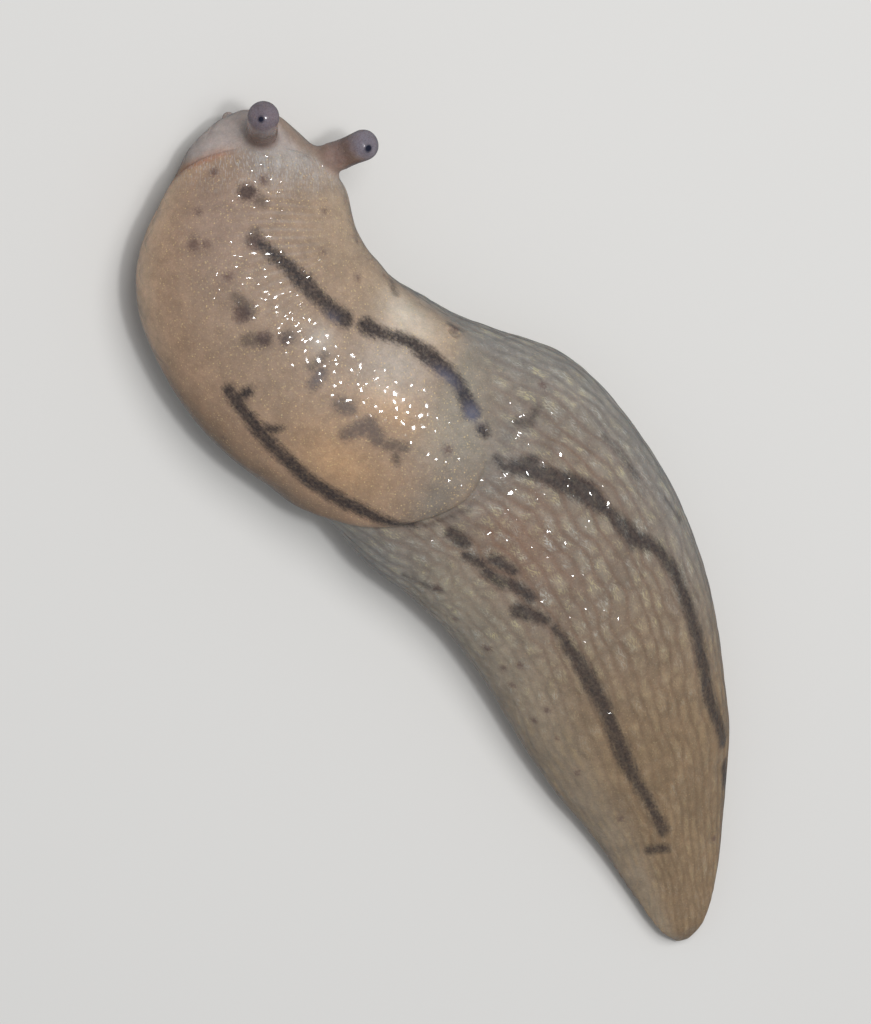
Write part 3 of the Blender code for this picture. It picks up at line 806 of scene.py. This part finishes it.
def tint(net, inside, own):
    """The skin's colour at each point, before the dark marks, with painted shade and painted light on the
    mantle.
    """
    return blend(net.shield[..., None], body_tint(net, inside, own), shield_tint(net))


def quads(rings, columns):
    ring, column = np.meshgrid(np.arange(rings - 1), np.arange(columns), indexing="ij")
    after = (column + 1) % columns
    corners = (ring * columns + column, ring * columns + after,
               (ring + 1) * columns + after, (ring + 1) * columns + column)
    return np.stack(corners, axis=-1).reshape(-1, 4)


def closed_net_mesh(name, points, flip):
    """A closed mesh from rings of points, with a fan at each end."""
    rings, columns = points.shape[:2]
    flat = points.reshape(-1, 3)
    tips = np.stack((points[0].mean(axis=0), points[-1].mean(axis=0)))
    faces = quads(rings, columns).tolist()
    last = (rings - 1) * columns
    for k in range(columns):
        after = (k + 1) % columns
        faces.append((rings * columns, after, k))
        faces.append((rings * columns + 1, last + k, last + after))
    if flip:
        faces = [face[::-1] for face in faces]
    mesh = bpy.data.meshes.new(name)
    mesh.from_pydata((np.concatenate((flat, tips)) * MM).tolist(), [], faces)
    thing = bpy.data.objects.new(name, mesh)
    bpy.context.scene.collection.objects.link(thing)
    return thing


def feeler_rings(root, bulb, radii):
    """Rings of a feeler with a round bulb at its end, with the share of its length at each."""
    root = np.array(root)
    bulb = np.array(bulb)
    bulb_radius = radii[3]
    reach = np.linalg.norm(bulb - root)
    ahead = (bulb - root) / reach
    across = np.cross(ahead, (0.0, 0.0, 1.0))
    across /= np.linalg.norm(across)
    above = np.cross(across, ahead)
    size_at = smooth_table(list(zip((0.0, reach * 0.4, reach * 0.7, reach), radii)))
    straight = np.linspace(0.0, reach, FEELER_RINGS - 24)
    turns = np.linspace(0.0, math.pi / 2 - 0.03, 25)[1:]
    along = np.concatenate((straight, reach + bulb_radius * np.sin(turns)))
    size = np.concatenate((size_at(straight)[:, 0], bulb_radius * np.cos(turns)))
    round_turns = np.linspace(0.0, 2.0 * math.pi, FEELER_SIDES, endpoint=False)
    spokes = np.cos(round_turns)[:, None] * across + np.sin(round_turns)[:, None] * above
    wrinkles = 0.012 * np.sin(2.0 * math.pi * along / 0.16) * soft_step(-along, -reach * 0.86, -reach * 0.5)
    middle = root + ahead * along[:, None]
    points = middle[:, None, :] + spokes[None, :, :] * (size + wrinkles)[:, None, None]
    grain = 0.008 * (soft_noise(points / 0.15, 31) - 0.5) * soft_step(size, 0.0, 0.2)[:, None]
    points = points + spokes[None, :, :] * grain[..., None]
    return points, along / reach


def feeler_tint(name, points, share):
    """Grey violet bulbs on brown stalks, with a dark collar between; the lower feelers stay pale."""
    shape = points.shape
    if name.startswith("lower"):
        return np.broadcast_to(linear("snout"), shape)
    side = name.split("_")[1]
    level = (share[:, None] + 0.12 * (soft_noise(points / 0.25, 33) - 0.5))
    colours = np.broadcast_to(linear(f"root_{side}"), shape)
    colours = mix_tone(soft_step(level, *STALK_STARTS[side]), colours, f"stalk_{side}")
    weight, middle, reach = COLLARS[side]
    colours = mix_tone(weight * np.exp(-((level - middle) / reach) ** 2), colours, "collar")
    return mix_tone(soft_step(level, *BULB_STARTS[side]), colours, f"bulb_{side}")


def eye_centre(side):
    direction = np.array(EYES[side]) / np.linalg.norm(EYES[side])
    return np.array(FEELERS[f"upper_{side}"][1]) + direction * EYE_SETTING


def eye_stain(name, points):
    """The dark of the eye that shows through the skin round it."""
    kind, side = name.split("_")
    if kind == "lower":
        return np.zeros(points.shape[0] * points.shape[1])
    gap = np.linalg.norm(points - eye_centre(side), axis=-1)
    rim = np.exp(-(np.maximum(gap - EYE_RADIUS, 0.0) / STAIN_REACH) ** 2)
    return np.maximum(rim, 0.3 * np.exp(-(gap / SHADE_REACH) ** 2)).ravel()


def join_meshes(body, parts):
    """Join closed pieces into one closed surface."""
    for part in parts:
        union = body.modifiers.new(part.name, "BOOLEAN")
        union.operation = "UNION"
        union.solver = "MANIFOLD"
        union.object = part
    graph = bpy.context.evaluated_depsgraph_get()
    mesh = bpy.data.meshes.new_from_object(body.evaluated_get(graph))
    body.modifiers.clear()
    body.data = mesh
    for part in parts:
        bpy.data.objects.remove(part, do_unlink=True)


def read_points(mesh):
    places = np.empty(len(mesh.vertices) * 3)
    mesh.vertices.foreach_get("co", places)
    return places.reshape(-1, 3) / MM


def nearest_sources(points, sources):
    """For each point the number of the nearest source point, and how far off it is."""
    tree = KDTree(len(sources))
    for number, source in enumerate(sources.tolist()):
        tree.insert(source, number)
    tree.balance()
    found = [tree.find(point)[1:] for point in points.tolist()]
    return np.array([number for number, gap in found]), np.array([gap for number, gap in found])


def smooth_seams(mesh, points, tones, is_new):
    """Round off the skin where the feelers grow out of it, and let their colours run into each other."""
    seam = points[is_new]
    tree = KDTree(len(seam))
    for number, place_on_seam in enumerate(seam.tolist()):
        tree.insert(place_on_seam, number)
    tree.balance()
    low = seam.min(axis=0) - SEAM_REACH
    high = seam.max(axis=0) + SEAM_REACH
    boxed = np.nonzero(((points > low) & (points < high)).all(axis=1))[0]
    gaps = np.array([tree.find(points[k].tolist())[2] for k in boxed])
    weight = np.zeros(len(points))
    weight[boxed] = 0.6 * soft_step(-gaps, -SEAM_REACH, 0.0)
    edges = np.empty(len(mesh.edges) * 2, dtype=np.int64)
    mesh.edges.foreach_get("vertices", edges)
    edges = edges.reshape(-1, 2)
    edges = edges[(weight[edges] > 0.0).any(axis=1)]
    used, numbers = np.unique(edges, return_inverse=True)
    first, second = numbers.reshape(-1, 2).T
    count = np.bincount(numbers.ravel(), minlength=len(used))[:, None]
    moving = np.column_stack((points, tones))[used]
    share = weight[used][:, None]
    for _ in range(SEAM_ROUNDS):
        columns = [np.bincount(first, moving[second, axis], len(used))
                   + np.bincount(second, moving[first, axis], len(used)) for axis in range(6)]
        moving = blend(share, moving, np.stack(columns, axis=-1) / count)
    points[used] = moving[:, :3]
    tones[used] = moving[:, 3:]


def store(mesh, name, values, kind):
    attribute = mesh.attributes.new(name, kind, "POINT")
    if kind == "FLOAT":
        attribute.data.foreach_set("value", values.astype(np.float32).ravel())
    elif kind == "FLOAT_COLOR":
        full = np.concatenate((values, np.ones((len(values), 1))), axis=1)
        attribute.data.foreach_set("color", full.astype(np.float32).ravel())
    else:
        attribute.data.foreach_set("vector", values.astype(np.float32).ravel())


def make_skin():
    net = Net()
    bumps, inside, own = back_relief(net)
    relief = mantle_relief(net) + bumps + fringe_relief(net)
    hole = skin_place(*PNEUMOSTOME) + np.array((0.0, 0.0, MANTLE_LIFT))
    relief += dent(net.points, hole, PNEUMOSTOME_RADIUS, PNEUMOSTOME_DEPTH)
    relief += mouth_relief(net)
    lifted = net.points[..., 2:] > 0.02
    ends = soft_step(net.distance, 0.0, 0.25) * soft_step(-net.distance, -LENGTH, -LENGTH + 0.8)
    points = net.points + net.normals * relief[..., None] * lifted * ends[:, None, None]
    points[..., 2] = np.maximum(points[..., 2], 0.0)
    bands_and_shadow_line = np.zeros(points.shape[:2])
    weak = np.zeros(points.shape[:2])
    # Dark marks, among them a painted shadow line along the rear left edge of the mantle
    for strokes, weakness in (
        (RIGHT_MANTLE_BAND, 0.0), (LEFT_MANTLE_BAND, 0.0), (MIDDLE_MANTLE_BAND, 0.3),
        (SPOTTED_BAND, 0.36), (RIGHT_BACK_BAND, 0.1), (LEFT_BACK_BAND, 0.1), (SMALL_MARKS_AND_SHADOW_LINE, 0.35),
    ):
        field = mark_field(strokes, net.distance, net.points, BAND_SOFTNESS)
        weak = np.where(field > bands_and_shadow_line, weakness, weak)
        bands_and_shadow_line = np.maximum(bands_and_shadow_line, field)
    spots = 0.85 * mark_field(single_spots(MANTLE_SPOTS), net.distance, net.points, SPOT_SOFTNESS)
    spots = np.maximum(spots, mark_field(single_spots(BACK_SPOTS), net.distance, net.points, SPOT_SOFTNESS))
    blue = 1.0 * patch(net.distance, net.across, (16.2, 20), (0.45, 0.45))
    blue += 0.8 * patch(net.distance, net.across, (14.6, 29), (0.7, 0.35))
    blue += 0.6 * patch(net.distance, net.across, (9.1, 19), (0.4, 0.3))
    blue += 0.4 * patch(net.distance, net.across, (10.5, -2), (0.3, 0.5))
    blue += 0.25 * patch(net.distance, net.across, (12.6, -8), (1.4, 0.9))
    lie = np.stack((net.distance[:, None] + 0.0 * net.across, net.across, 0.0 * net.across), axis=-1)
    known = {
        "tint": tint(net, inside, own).reshape(-1, 3),
        "band": bands_and_shadow_line.ravel(),
        "weak": weak.ravel(),
        "spot": spots.ravel(),
        "blue": np.clip(blue, 0.0, 1.0).ravel(),
        "crown": (soft_step(inside, 0.15, 0.8) * blend(own, 0.4, 1.0)).ravel(),
        "mantle": net.shield.ravel(),
        "bulb": np.zeros(bands_and_shadow_line.size),
        "stain": np.zeros(bands_and_shadow_line.size),
        "lie": lie.reshape(-1, 3),
    }
    body = closed_net_mesh("skin", points, flip=False)
    sources = [points.reshape(-1, 3)]
    parts = []
    for name, (root, bulb, radii) in FEELERS.items():
        rings, share = feeler_rings(root, bulb, radii)
        parts.append(closed_net_mesh(f"feeler_{name}", rings, flip=False))
        sources.append(rings.reshape(-1, 3))
        size = rings.shape[0] * rings.shape[1]
        flat = np.repeat(share, rings.shape[1])
        known["tint"] = np.concatenate((known["tint"], feeler_tint(name, rings, share).reshape(-1, 3)))
        known["lie"] = np.concatenate((known["lie"], np.column_stack((
            flat * 3.0, np.tile(np.arange(rings.shape[1]) * 0.06, rings.shape[0]), np.ones(size)))))
        known["bulb"] = np.concatenate((known["bulb"], soft_step(flat, 0.4, 0.9)))
        known["stain"] = np.concatenate((known["stain"], eye_stain(name, rings)))
        for key in ("band", "weak", "spot", "blue", "crown", "mantle"):
            known[key] = np.concatenate((known[key], np.zeros(size)))
    for thing in [body] + parts:
        face_outward(thing)
    join_meshes(body, parts)
    mesh = body.data
    joined = read_points(mesh)
    nearest, gap = nearest_sources(joined, np.concatenate(sources))
    is_new = gap > 1e-4
    is_new &= joined[:, 1] > 12.0
    found = {name: values[nearest] for name, values in known.items()}
    smooth_seams(mesh, joined, found["tint"], is_new)
    mesh.vertices.foreach_set("co", (joined * MM).astype(np.float32).ravel())
    for name, values in found.items():
        kind = {"tint": "FLOAT_COLOR", "lie": "FLOAT_VECTOR"}.get(name, "FLOAT")
        store(mesh, name, values, kind)
    mesh.shade_smooth()
    mesh.update()
    return body


def face_outward(thing):
    """Turn a closed mesh's faces outwards."""
    shape = bmesh.new()
    shape.from_mesh(thing.data)
    if shape.calc_volume(signed=True) < 0.0:
        bmesh.ops.reverse_faces(shape, faces=shape.faces)
    shape.to_mesh(thing.data)
    shape.free()


class Paint:
    """Short ways to add nodes to a material."""

    def __init__(self, name):
        self.material = bpy.data.materials.new(name)
        self.material.use_nodes = True
        self.nodes = self.material.node_tree.nodes
        self.shader = self.nodes["Principled BSDF"]

    def set(self, socket, value):
        if isinstance(value, bpy.types.NodeSocket):
            self.material.node_tree.links.new(value, socket)
        else:
            socket.default_value = value

    def add(self, kind, settings, *inputs, out=0):
        """A node with settings by name, and inputs given as pairs of socket and value."""
        node = self.nodes.new(kind)
        for key, value in settings.items():
            setattr(node, key, value)
        for key, value in inputs:
            self.set(node.inputs[key], value)
        return node.outputs[out]

    def known(self, name, output="Fac"):
        return self.add("ShaderNodeAttribute", {"attribute_name": name}, out=output)

    def sum(self, operation, first, second=0.0):
        return self.add("ShaderNodeMath", {"operation": operation}, (0, first), (1, second))

    def between(self, weight, first, second):
        return self.add("ShaderNodeMix", {"data_type": "FLOAT"}, (0, weight), (2, first), (3, second))

    def step(self, value, low, high, start=0.0, end=1.0):
        return self.add("ShaderNodeMapRange", {"interpolation_type": "SMOOTHSTEP"},
                        ("Value", value), ("From Min", low), ("From Max", high),
                        ("To Min", start), ("To Max", end))

    def shade(self, base, amount):
        """A colour made darker or lighter by an amount around 1."""
        grey = self.add("ShaderNodeCombineColor", {}, (0, amount), (1, amount), (2, amount))
        return self.mix(1.0, base, grey, "MULTIPLY")

    def mix(self, weight, first, second, way="MIX"):
        return self.add("ShaderNodeMix", {"data_type": "RGBA", "blend_type": way},
                        (0, weight), (6, first), (7, second), out=2)

    def stretch(self, vector, scale):
        return self.add("ShaderNodeMapping", {}, ("Vector", vector), ("Scale", scale))

    def noise(self, vector, scale, detail=2.0, rough=0.5):
        return self.add("ShaderNodeTexNoise", {}, ("Vector", vector), ("Scale", scale),
                        ("Detail", detail), ("Roughness", rough))

    def dots(self, vector, scale, out="Distance"):
        return self.add("ShaderNodeTexVoronoi", {}, ("Vector", vector), ("Scale", scale), out=out)

    def bump(self, height, distance, normal=None):
        inputs = [("Height", height), ("Distance", distance * MM), ("Strength", 1.0)]
        if normal is not None:
            inputs.append(("Normal", normal))
        return self.add("ShaderNodeBump", {}, *inputs)


def colour(tone):
    return (*linear(tone), 1.0)


def domes(paint, lie, length, width, height):
    """Heights in mm of small domes side by side, by their size along and across the body."""
    where = paint.stretch(lie, (1.0 / length, 1.0 / width, 1.0))
    gap = paint.add("ShaderNodeTexVoronoi", {"voronoi_dimensions": "2D"}, ("Vector", where), ("Scale", 1.0))
    return paint.sum("MULTIPLY", paint.sum("MULTIPLY", gap, gap), -height)


def wet_film(paint, here, lie, run, mantle):
    """Heights in mm of the wet film: cross ridges in front, low domes behind, and a few on the back."""
    front = paint.step(run, 6.5, 9.5, 1.0, 0.0)
    shield = paint.between(front, domes(paint, lie, 0.46, 0.5, 0.05), domes(paint, lie, 0.36, 0.75, 0.14))
    film = paint.between(mantle, domes(paint, lie, 0.8, 0.7, 0.19), shield)
    film = paint.sum("MULTIPLY", film, paint.step(paint.noise(here, 1.1, 1.0), 0.3, 0.7, 0.5, 1.4))
    film = paint.sum("ADD", film, paint.sum("MULTIPLY", paint.noise(here, 1.3, 1.0), 0.04))
    return paint.sum("MULTIPLY", film, paint.sum("SUBTRACT", 1.0, paint.known("bulb")))


def hairs(paint, lie, slant):
    """Short fine strokes that lie at a slant to the body."""
    turned = paint.add("ShaderNodeMapping", {}, ("Vector", lie), ("Rotation", (0.0, 0.0, slant)))
    strokes = paint.noise(paint.stretch(turned, (4.5, 19.0, 1.0)), 1.0, 1.0, 0.5)
    return paint.step(strokes, 0.53, 0.64)


def skin_material():
    paint = Paint("slug_skin")
    here = paint.add("ShaderNodeTexCoord", {}, out="Object")
    here = paint.stretch(here, (1.0 / MM, 1.0 / MM, 1.0 / MM))
    lie = paint.known("lie", "Vector")
    mantle = paint.known("mantle")
    crown = paint.known("crown")
    band = paint.known("band")
    fine = paint.noise(here, 16.0, 3.0, 0.6)
    base = paint.known("tint", "Color")
    base = paint.shade(base, paint.step(paint.noise(here, 0.9, 3.0, 0.6), 0.3, 0.7, 0.9, 1.1))
    base = paint.shade(base, paint.step(paint.noise(here, 3.2, 4.0, 0.65), 0.3, 0.7, 0.92, 1.08))
    base = paint.shade(base, paint.step(fine, 0.3, 0.7, 0.92, 1.08))

    # Pale hair-like dashes in clusters on the tubercles
    crossed = paint.sum("MAXIMUM", hairs(paint, lie, 0.25), hairs(paint, lie, -0.4))
    cluster = paint.step(paint.noise(here, 1.5, 2.0), 0.36, 0.6)
    crossed = paint.sum("MULTIPLY", crossed, paint.sum("MULTIPLY", crown, cluster))
    run = paint.add("ShaderNodeSeparateXYZ", {}, (0, lie))
    crossed = paint.sum("MULTIPLY", crossed, paint.step(run, 22.0, 31.0, 1.0, 0.25))
    warmth = paint.step(paint.noise(here, 1.1, 1.0), 0.4, 0.6)
    dash = paint.mix(warmth, colour("dash"), colour("cool_dash"))
    base = paint.mix(paint.sum("MULTIPLY", crossed, 0.58), base, dash)

    # Whitish hairs behind the front edge of the mantle
    brow = paint.sum("MULTIPLY", hairs(paint, lie, 0.0), paint.step(run, 2.0, 3.8, 0.45, 0.0))
    base = paint.mix(paint.sum("MULTIPLY", brow, mantle), base, colour("mantle_streak"))

    # Golden flecks in the mantle
    fleck = paint.step(paint.dots(here, 8.0), 0.3, 0.16)
    chance = paint.add("ShaderNodeSeparateColor", {}, (0, paint.dots(here, 8.0, "Color")))
    fleck = paint.sum("MULTIPLY", fleck, paint.step(chance, 0.4, 1.0))
    grains = paint.step(paint.noise(here, 13.0, 1.0), 0.6, 0.72, 0.0, 0.45)
    fleck = paint.sum("MULTIPLY", paint.sum("MAXIMUM", fleck, grains), paint.sum("MAXIMUM", mantle, 0.25))
    base = paint.mix(paint.sum("MULTIPLY", fleck, 0.65), base, colour("fleck"))

    # Faint grainy spots
    grainy = paint.noise(here, 11.0, 3.0, 0.7)
    unevenness = paint.sum("MULTIPLY", paint.sum("SUBTRACT", grainy, 0.5), 1.1)
    faint = paint.sum("ADD", paint.known("spot"), unevenness)
    faint = paint.sum("MULTIPLY", paint.step(faint, 0.25, 0.95), paint.step(paint.known("spot"), 0.02, 0.3))
    base = paint.mix(paint.sum("MULTIPLY", faint, 0.82), base, colour("spot"))

    # Dark bands with a grainy, feathered edge, and the painted shadow line along the mantle's rear left edge
    fray = paint.noise(paint.stretch(lie, (2.2, 5.0, 1.0)), 1.0, 4.0, 0.7)
    threads = paint.noise(paint.stretch(lie, (1.4, 12.0, 1.0)), 1.0, 2.0, 0.6)
    ragged = paint.sum("ADD", band, paint.sum("MULTIPLY", paint.sum("SUBTRACT", fray, 0.5), 0.65))
    ragged = paint.sum("ADD", ragged, paint.sum("MULTIPLY", paint.sum("SUBTRACT", threads, 0.5), 0.5))
    ragged = paint.sum("ADD", ragged, paint.sum("MULTIPLY", paint.sum("SUBTRACT", grainy, 0.5), 0.7))
    halo = paint.step(band, 0.05, 0.6, 0.0, 0.35)
    dark = paint.sum("MAXIMUM", paint.step(ragged, 0.04, 0.8), halo)
    dark = paint.sum("MULTIPLY", dark, paint.step(paint.noise(here, 7.0, 2.0, 0.6), 0.3, 0.6, 0.8, 1.0))
    dark = paint.sum("MULTIPLY", dark, paint.step(band, 0.02, 0.2))
    dark = paint.sum("MULTIPLY", dark, paint.sum("SUBTRACT", 0.94, paint.known("weak")))
    core = paint.step(paint.noise(here, 9.0, 3.0, 0.6), 0.4, 0.62)
    ink = paint.mix(core, colour("band"), colour("core"))
    ink = paint.mix(paint.known("blue"), ink, colour("blue"))
    base = paint.mix(dark, base, ink)

    # Dark stipple on the feelers, and the dark of the eyes below their skin
    stipple = paint.step(paint.noise(here, 18.0, 2.0, 0.6), 0.5, 0.62)
    stipple = paint.sum("MULTIPLY", stipple, paint.known("bulb"))
    base = paint.mix(paint.sum("MULTIPLY", stipple, 0.25), base, colour("collar"))
    base = paint.mix(paint.sum("MULTIPLY", paint.known("stain"), 0.95), base, colour("eye"))

    relief = paint.bump(fine, 0.006)
    relief = paint.bump(paint.noise(here, 5.5, 3.0, 0.55), 0.012, relief)
    wet = paint.bump(wet_film(paint, here, lie, run, mantle), 1.0)
    gloss = paint.sum("SUBTRACT", 0.42, paint.sum("MULTIPLY", paint.known("bulb"), 0.18))
    shader = paint.shader
    for name, value in (
        ("Base Color", base), ("Normal", relief), ("Coat Normal", wet), ("Roughness", gloss),
        ("Subsurface Weight", 0.4), ("Subsurface Radius", (1.0, 0.55, 0.35)), ("Subsurface Scale", 0.0006),
        ("Specular IOR Level", 0.4), ("Coat Weight", 0.9), ("Coat Roughness", 0.08), ("Coat IOR", 1.5),
    ):
        paint.set(shader.inputs[name], value)
    return paint.material


def eye_material():
    paint = Paint("slug_eye")
    here = paint.add("ShaderNodeTexCoord", {}, out="Object")
    cloud = paint.noise(here, 9000.0, 2.0)
    dark, light = (0.01, 0.012, 0.025, 1.0), (0.018, 0.02, 0.038, 1.0)
    paint.set(paint.shader.inputs["Base Color"], paint.mix(cloud, dark, light))
    for name, value in (("Roughness", 0.6), ("Specular IOR Level", 0.15)):
        paint.set(paint.shader.inputs[name], value)
    return paint.material


def make_eyes():
    material = eye_material()
    for side in EYES:
        shape = bmesh.new()
        bmesh.ops.create_uvsphere(shape, u_segments=32, v_segments=20, radius=EYE_RADIUS * MM)
        bmesh.ops.translate(shape, vec=Vector(eye_centre(side)) * MM, verts=shape.verts)
        mesh = bpy.data.meshes.new(f"eyeball_{side}")
        shape.to_mesh(mesh)
        shape.free()
        mesh.shade_smooth()
        mesh.materials.append(material)
        ball = bpy.data.objects.new(f"eyeball_{side}", mesh)
        bpy.context.scene.collection.objects.link(ball)
        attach(ball, "root")
        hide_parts(f"eye_{side}")


def make_floor():
    mesh = bpy.data.meshes.new("floor")
    signs = ((-1.0, -1.0), (1.0, -1.0), (1.0, 1.0), (-1.0, 1.0))
    corners = [(x * FLOOR_HALF, y * FLOOR_HALF, FLOOR_LEVEL) for x, y in signs]
    mesh.from_pydata(corners, [], [(0, 1, 2, 3)])
    floor = bpy.data.objects.new("floor", mesh)
    bpy.context.scene.collection.objects.link(floor)
    paint = Paint("pale_floor")
    paint.set(paint.shader.inputs["Base Color"], FLOOR_COLOUR)
    paint.set(paint.shader.inputs["Roughness"], FLOOR_ROUGHNESS)
    mesh.materials.append(paint.material)
    floor.visible_glossy = False


def camera_axes():
    back = (CAMERA_LEAN * math.sin(CAMERA_TILT) + Vector((0.0, 0.0, math.cos(CAMERA_TILT)))).normalized()
    up = (Vector((0.0, 1.0, 0.0)) - back * back.y).normalized()
    return up.cross(back), up, back


def make_camera():
    right, up, back = camera_axes()
    camera = bpy.data.cameras.new("camera")
    camera.sensor_fit = "VERTICAL"
    camera.sensor_height = SENSOR
    camera.lens = SENSOR * CAMERA_REACH / FRAME_HEIGHT
    camera.clip_start = 0.01
    camera.clip_end = 10.0
    thing = bpy.data.objects.new("camera", camera)
    thing.location = (TARGET + back * CAMERA_REACH + right * CAMERA_STEP[0] + up * CAMERA_STEP[1]) * MM
    thing.rotation_euler = Matrix((right, up, back)).transposed().to_euler()
    bpy.context.scene.collection.objects.link(thing)
    bpy.context.scene.camera = thing


def make_light(name, direction, reach, size, power, mirrored):
    """A round soft light that shines on the slug from a direction, with its reach and size in mm."""
    lamp = bpy.data.lights.new(name, "AREA")
    lamp.shape = "DISK"
    lamp.size = size * MM
    lamp.energy = power
    thing = bpy.data.objects.new(name, lamp)
    ahead = Vector(direction).normalized()
    thing.location = (TARGET + ahead * reach) * MM
    thing.rotation_euler = ahead.to_track_quat("Z", "Y").to_euler()
    thing.visible_glossy = mirrored
    bpy.context.scene.collection.objects.link(thing)


def make_lights():
    for name, values in LAMPS.items():
        make_light(name, *values)
    world = bpy.data.worlds.new("studio")
    bpy.context.scene.world = world
    world.use_nodes = True
    nodes, links = world.node_tree.nodes, world.node_tree.links
    nodes["Background"].inputs["Color"].default_value = SKY_COLOUR
    seen_in_gloss = nodes.new("ShaderNodeLightPath").outputs["Is Glossy Ray"]
    dimmer = nodes.new("ShaderNodeMapRange")
    dimmer.inputs["To Min"].default_value = SKY_STRENGTH
    dimmer.inputs["To Max"].default_value = MIRRORED_SKY_STRENGTH
    links.new(seen_in_gloss, dimmer.inputs["Value"])
    links.new(dimmer.outputs["Result"], nodes["Background"].inputs["Strength"])
    bpy.context.scene.view_settings.view_transform = "Standard"


FLESH = (
    "head", "mantle", "torso_front", "torso_middle", "torso_rear", "tail",
    "foot_front", "foot_middle", "foot_rear", "tentacle_upper_left", "tentacle_upper_right",
    "tentacle_lower_left", "tentacle_lower_right",
)


def main():
    make_camera()
    make_lights()
    make_floor()
    skin = make_skin()
    skin.data.materials.clear()
    skin.data.materials.append(skin_material())
    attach(skin, "root")
    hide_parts(*FLESH)
    make_eyes()


main()
